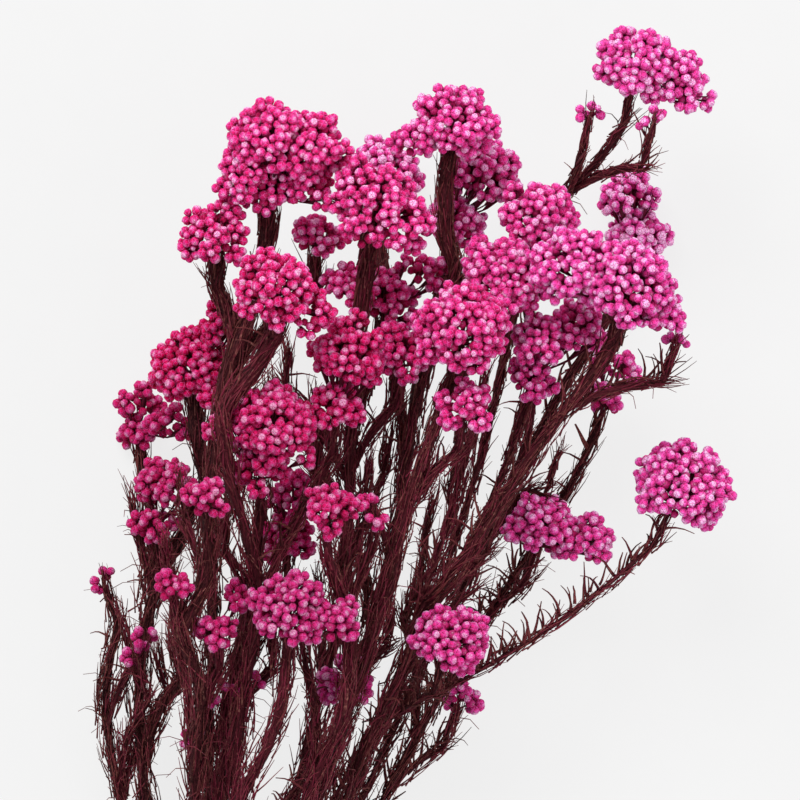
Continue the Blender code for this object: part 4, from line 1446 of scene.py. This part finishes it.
def layer_of(head, inset, pitch, least):
    """One layer of buds over all lobes of a head: spots, ways and the lobe of each."""
    spots, ways, lobes = [], [], []
    for lobe in range(len(head.middles)):
        at, facing = even_dome(head, lobe, inset, pitch, least)
        free = outside_others(head, lobe, at, inset)
        spots.append(at[free])
        ways.append(facing[free])
        lobes.append(np.full(free.sum(), lobe))
    return np.vstack(spots), np.vstack(ways), np.concatenate(lobes)


def clump_cap(radius):
    """The ways of the buds of one clump, about z."""
    reach = 1 - cos(CLUMP_SPREAD)
    area = 2 * pi * radius**2 * reach
    return even_cap(area, BUD_PITCH, 3, reach, 0.4, rng.uniform(0, 2 * pi))


def clumps_of(head):
    """The buds of a head: spots, ways and clump of each, and the clumps' middles."""
    hubs, facings, lobes = layer_of(head, CLUMP_INSET, CLUMP_PITCH, 2)
    share = np.minimum(1, head.half_widths[lobes] / FULL_CLUMPS_FROM)[:, None]
    hubs = hubs + rng.normal(0, CLUMP_STRAY, hubs.shape) * share
    reaches = CLUMP_RADIUS * rng.uniform(*CLUMP_SIZES, len(hubs))
    reaches = reaches * (0.45 + 0.55 * share[:, 0])
    spots, ways, owners = [], [], []
    for place, (hub, facing, reach) in enumerate(zip(hubs, facings, reaches)):
        cap = clump_cap(reach) @ basis_of(facing).T
        spots.append(hub + cap * reach)
        ways.append(cap)
        owners.append(np.full(len(cap), place))
    spots, ways, owners = np.vstack(spots), np.vstack(ways), np.concatenate(owners)
    gaps = np.linalg.norm(spots[:, None] - hubs[None], axis=2)
    gaps[np.arange(len(spots)), owners] = 99
    kept = np.all(gaps > reaches * CLUMP_COVER, axis=1)
    for lobe, half in enumerate(head.half_widths):
        inset = min(CLUMP_INSET, INSET_MOST * half) + 0.6
        local = (spots - head.middles[lobe]) @ basis_of(head.lobe_axis(lobe))
        size = np.maximum(np.array([half, half, TOP_RISE * half]) - inset, 0.5)
        kept &= np.sum((local / size) ** 2, axis=1) > 0.8
    return spots[kept], ways[kept], owners[kept], hubs


def crowd(spots, radii):
    """Part the buds that would sink into each other."""
    for _ in range(CROWD_ROUNDS):
        gaps = spots[None] - spots[:, None]
        apart = np.linalg.norm(gaps, axis=2)
        np.fill_diagonal(apart, 99)
        short = np.maximum(BUD_CROWDING * (radii[:, None] + radii[None]) - apart, 0)
        push = gaps * (short / apart)[:, :, None]
        spots = spots - CROWD_PUSH * push.sum(axis=1)
    return spots


def bud_bases(ways, sizes):
    """Bases that turn a bud to its way, spin it and size it."""
    helper = rng.normal(0, 1, ways.shape)
    first = rows_to_unit(np.cross(ways, helper))
    second = np.cross(ways, first)
    return np.stack([first, second, ways], axis=-1) * sizes[:, None, None]


def dye_of(head):
    """How much painted light pales a head, its hue from pink to purple, and how much painted shade
    darkens it.
    """
    right, up, high = head.middles[0]
    # Painted light: heads high up at the back are painted paler and more purple.
    painted_light = share_past(high, *PAINTED_LIGHT_BELOW_Z) * share_past(up, *PAINTED_LIGHT_ABOVE_Y)
    hue = np.hypot(right - DEEPEST_DYE[0], up - DEEPEST_DYE[1]) / DYE_REACH
    hue = np.clip(hue + PAINTED_LIGHT_HUE * painted_light + rng.normal(0, HUE_STRAY), 0, 1)
    # Painted shade: heads low on the left are darkened.
    painted_shade = PAINTED_SHADE_MOST * share_past(up, *SHADED_BELOW_Y) * share_past(right, *SHADED_LEFT_OF_X)
    return painted_light, hue, painted_shade


def tints_of(pale, hue, painted_shade):
    """Tints of buds: how pale each is, which widens its painted highlight, and their head's hue
    and painted shade.
    """
    return np.stack([pale, np.full(len(pale), hue), np.full(len(pale), painted_shade)], axis=-1)


bud_patterns = [make_bud(dent, seed) for seed, dent in enumerate(BUD_DENTS)]
small_bud = make_small_bud()
stalk = make_stalk()
dyed_bracts = bud_finish()
dried_stalk = stalk_finish()
for head in heads.values():
    spots, ways, owners, hubs = clumps_of(head)
    spots += rng.normal(0, BUD_STRAY, spots.shape)
    sizes = rng.uniform(*BUD_SIZES, len(spots))
    small = rng.uniform(0, 1, len(spots)) < SMALL_BUDS
    sizes[small] *= SMALL_SIZE
    spots = crowd(spots, sizes * BUD_WIDTH / 2)
    leans = rows_to_unit(ways + rng.normal(0, BUD_LEAN, ways.shape))
    feet = spots - leans * (sizes * BUD_LENGTH / 2)[:, None]
    painted_light, hue, painted_shade = dye_of(head)
    # A bud's pale share widens its painted highlight, and heads high up at the back get more of it
    # as painted light.
    tints = tints_of(rng.uniform(0, 1, len(spots)) + PAINTED_LIGHT_PALE * painted_light, hue, painted_shade)
    bases = bud_bases(leans, sizes)
    picks = rng.integers(0, len(bud_patterns), len(spots))
    buds = []
    for pick, pattern in enumerate(bud_patterns):
        chosen = picks == pick
        buds.append(copies(pattern, feet[chosen], bases[chosen], tints[chosen]))
    if head.half_widths[0] > FILLED_FROM:
        inner, inner_ways, _ = layer_of(head, INNER_INSET, INNER_PITCH, 3)
        inner_sizes = rng.uniform(*INNER_SIZES, len(inner))
        inner_feet = inner - inner_ways * BUD_WIDTH / 2
        # The inner layer is painted dark as shade.
        inner_tints = tints_of(np.zeros(len(inner)), hue, INNER_SHADE)
        inner_bases = bud_bases(inner_ways, inner_sizes)
        buds.append(copies(small_bud, inner_feet, inner_bases, inner_tints))
    hang(f"head_{head.name}_buds", gather(buds), [dyed_bracts], "head_" + head.name)
    fork = head.seat() + head.axis * 0.5
    nodes = fork + (hubs - fork) * BRANCH_REACH
    branches = []
    for node in nodes[np.unique(owners)]:
        bow = fork + head.axis * BRANCH_BOW * np.linalg.norm(node - fork)
        line = smooth_route([fork - head.axis * 1.5, bow, node], BRANCH_STEP)
        tapers = np.linspace(BRANCH_RADIUS, STALK_RADIUS, len(line))
        branches.append(swept(line, tapers, 4))
    roots = nodes[owners]
    reach = feet + leans * STALK_IN_BUD - roots
    length = np.linalg.norm(reach, axis=1)
    bases = bud_bases(reach / length[:, None], np.ones(len(reach)))
    bases[:, :, 2] *= length[:, None]
    branches.append(copies(stalk, roots, bases, tints))
    hang(f"head_{head.name}_stalks", gather(branches), [dried_stalk], "head_" + head.name)


# Twine. Jute of three twisted yarns is wound four times round the stems and tied on top
# in a knot, and its two ends are left hanging with frayed tips.
YARN_RADIUS = 0.52
YARNS = 3
YARN_SIDES = 6
TWINE_LAY = 6.0
TWINE_STEP = 0.8
TWINE_WIDTH = 2.0
TWINE_TURNS = 4
POINTS_A_TURN = 24
TIE_INNER_RADIUS = 10.5
TURN_RADIUS = TIE_INNER_RADIUS + TWINE_WIDTH / 2
KNOT_HEIGHT = 1.2
KNOT_LOOP = 2.1
LOOP_WIDTH = 0.6
LOOP_RISE = 0.9
LOOP_TURN = 1.6 * pi
LOOP_POINTS = 12
FRAY_LENGTH = 4.0
FRAY_COUNT = 30
FRAY_RADIUS = 0.09
FRAY_BEND = 0.2
FRAY_STEP = 1.2

# Each free end, from the knot: outwards as a share of its length, forwards and upwards.
TWINE_END_LENGTH = 17.0
TWINE_END = ((0.4, 2.5, 0.6), (0.8, 7.0, -1.9), (0.95, 11.0, -5.3))


def twine_finish():
    """Jute: tan fibres that run along the yarn, with paler and darker ones among them."""
    material, tree, shader = finish_tree("jute_twine", 0.9, 0.1)
    circle, run = wrapped_uv(tree)
    along = times(tree, run, 0.25)
    fibres = noise_of(tree, vector_of(tree, *circle, along), 7.0, 4.0)
    patches = noise_of(tree, vector_of(tree, *circle, run), 0.2, 2.0)
    ground = blend_of(tree, ramp_of(tree, patches, 0.35, 0.65), JUTE_TAN, JUTE_BROWN)
    colour = blend_of(tree, ramp_of(tree, fibres, 0.5, 0.7), ground, JUTE_PALE)
    tree.links.new(colour, shader.inputs["Base Color"])
    shader.inputs["Sheen Weight"].default_value = 0.3
    raise_by(tree, shader, fibres, 0.2 * MM)
    return material


JUTE_TAN = linear(176, 140, 98)
JUTE_BROWN = linear(140, 104, 68)
JUTE_PALE = linear(208, 180, 138)


def twisted(line):
    """Three yarns wound round a line."""
    line = smooth_route(line, TWINE_STEP)
    run = lengths_along(line)
    _, first, second = frames_along(line)
    yarns = []
    for yarn in range(YARNS):
        turn = 2 * pi * (run / TWINE_LAY + yarn / YARNS)
        offset = first * np.cos(turn)[:, None] + second * np.sin(turn)[:, None]
        path = line + offset * YARN_RADIUS * 0.95
        yarns.append(swept(path, YARN_RADIUS, YARN_SIDES))
    return yarns


tie_middle = np.array(TIE_MIDDLE)
winding = []
for angle in np.linspace(0, 2 * pi * TWINE_TURNS, POINTS_A_TURN * TWINE_TURNS + 1):
    shift = (angle / (2 * pi) / TWINE_TURNS - 0.5) * (TWINE_TURNS - 1) * TWINE_WIDTH
    winding.append(tie_middle + [TURN_RADIUS * sin(angle), shift, TURN_RADIUS * cos(angle)])
strands = twisted(winding)
knot = tie_middle + [0, 0, TURN_RADIUS + KNOT_HEIGHT]
for hand in (-1, 1):
    loop = []
    for angle in np.linspace(0, LOOP_TURN, LOOP_POINTS):
        aside = hand * KNOT_LOOP * (1 - cos(angle)) * LOOP_WIDTH
        loop.append(knot + [aside, KNOT_LOOP * sin(angle), LOOP_RISE * sin(angle / 2)])
    strands += twisted(loop)
    end = [knot]
    for share, forwards, upwards in TWINE_END:
        end.append(knot + [hand * share * TWINE_END_LENGTH, forwards, upwards])
    strands += twisted(end)
    tip = end[-1]
    way = unit(tip - end[-2])
    for _ in range(FRAY_COUNT):
        bend = rng.normal(0, FRAY_BEND, 3)
        middle = tip + (way + bend) * FRAY_LENGTH / 2
        fray = [tip - way, middle, tip + (way + 2 * bend) * FRAY_LENGTH]
        strands.append(swept(smooth_route(fray, FRAY_STEP), FRAY_RADIUS, 3))
hang("tie_twine", gather(strands), [twine_finish()], "tie")


# The floor, the light and the camera. A pale, softly lit table stands for the plain
# background, and the camera looks straight down on the bunch.
FLOOR_SIZE = 6.0
FLOOR_Z = -0.0002
FLOOR_GLOW = 0.885
SKY_STRENGTH = 0.55
VIEW_HEIGHT = 4.0
VIEW_MIDDLE_Z = 0.065
VIEW_WIDTH = 0.256
SENSOR = 36.0


def floor_finish():
    """A pale matt sheet with the faintest grain, lit through so that shadows stay soft."""
    material, tree, shader = finish_tree("pale_sheet", 0.95, 0.1)
    grain = noise_of(tree, place_of(tree), 60.0, 4.0)
    colour = blend_of(tree, grain, linear(86, 86, 86), linear(91, 91, 91))
    tree.links.new(colour, shader.inputs["Base Color"])
    shader.inputs["Emission Color"].default_value = linear(243, 243, 243)
    shader.inputs["Emission Strength"].default_value = FLOOR_GLOW
    return material


bpy.ops.object.select_all(action="DESELECT")
bpy.ops.mesh.primitive_plane_add(size=FLOOR_SIZE, location=(0, 0, FLOOR_Z))
floor = bpy.context.active_object
floor.name = "floor"
bpy.ops.object.transform_apply()
floor.data.materials.append(floor_finish())
floor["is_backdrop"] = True

world = bpy.data.worlds.new("soft_sky")
world.use_nodes = True
sky = world.node_tree.nodes["Background"]
sky.inputs["Color"].default_value = (1.0, 1.0, 1.0, 1)
sky.inputs["Strength"].default_value = SKY_STRENGTH
bpy.context.scene.world = world


def soft_light(name, place, aim, size, power):
    """A large square light that faces a spot and stays out of view."""
    light = bpy.data.lights.new(name, "AREA")
    light.size = size
    light.energy = power
    lamp = bpy.data.objects.new(name, light)
    bpy.context.scene.collection.objects.link(lamp)
    lamp.location = place
    facing = Vector(aim) - Vector(place)
    lamp.rotation_euler = facing.to_track_quat("-Z", "Y").to_euler()
    lamp.visible_camera = False


soft_light("window_light", (-0.7, 1.9, 2.3), (0, 0.1, 0.05), 1.5, 66)
soft_light("fill_light", (1.6, -0.2, 2.0), (0, 0.1, 0.05), 1.8, 18)

eye = bpy.data.cameras.new("eye")
eye.sensor_width = SENSOR
eye.lens = SENSOR * (VIEW_HEIGHT - VIEW_MIDDLE_Z) / VIEW_WIDTH
eye.clip_end = 20
camera = bpy.data.objects.new("eye", eye)
bpy.context.scene.collection.objects.link(camera)
camera.location = (-PLAN_MIDDLE[0] * MM, -PLAN_MIDDLE[1] * MM, VIEW_HEIGHT)
bpy.context.scene.camera = camera
bpy.context.scene.view_settings.view_transform = "Standard"

sizes = {"cad_box": [list(corner) for corner in cad_box]}
sizes["visual_box"] = [list(corner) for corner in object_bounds()]
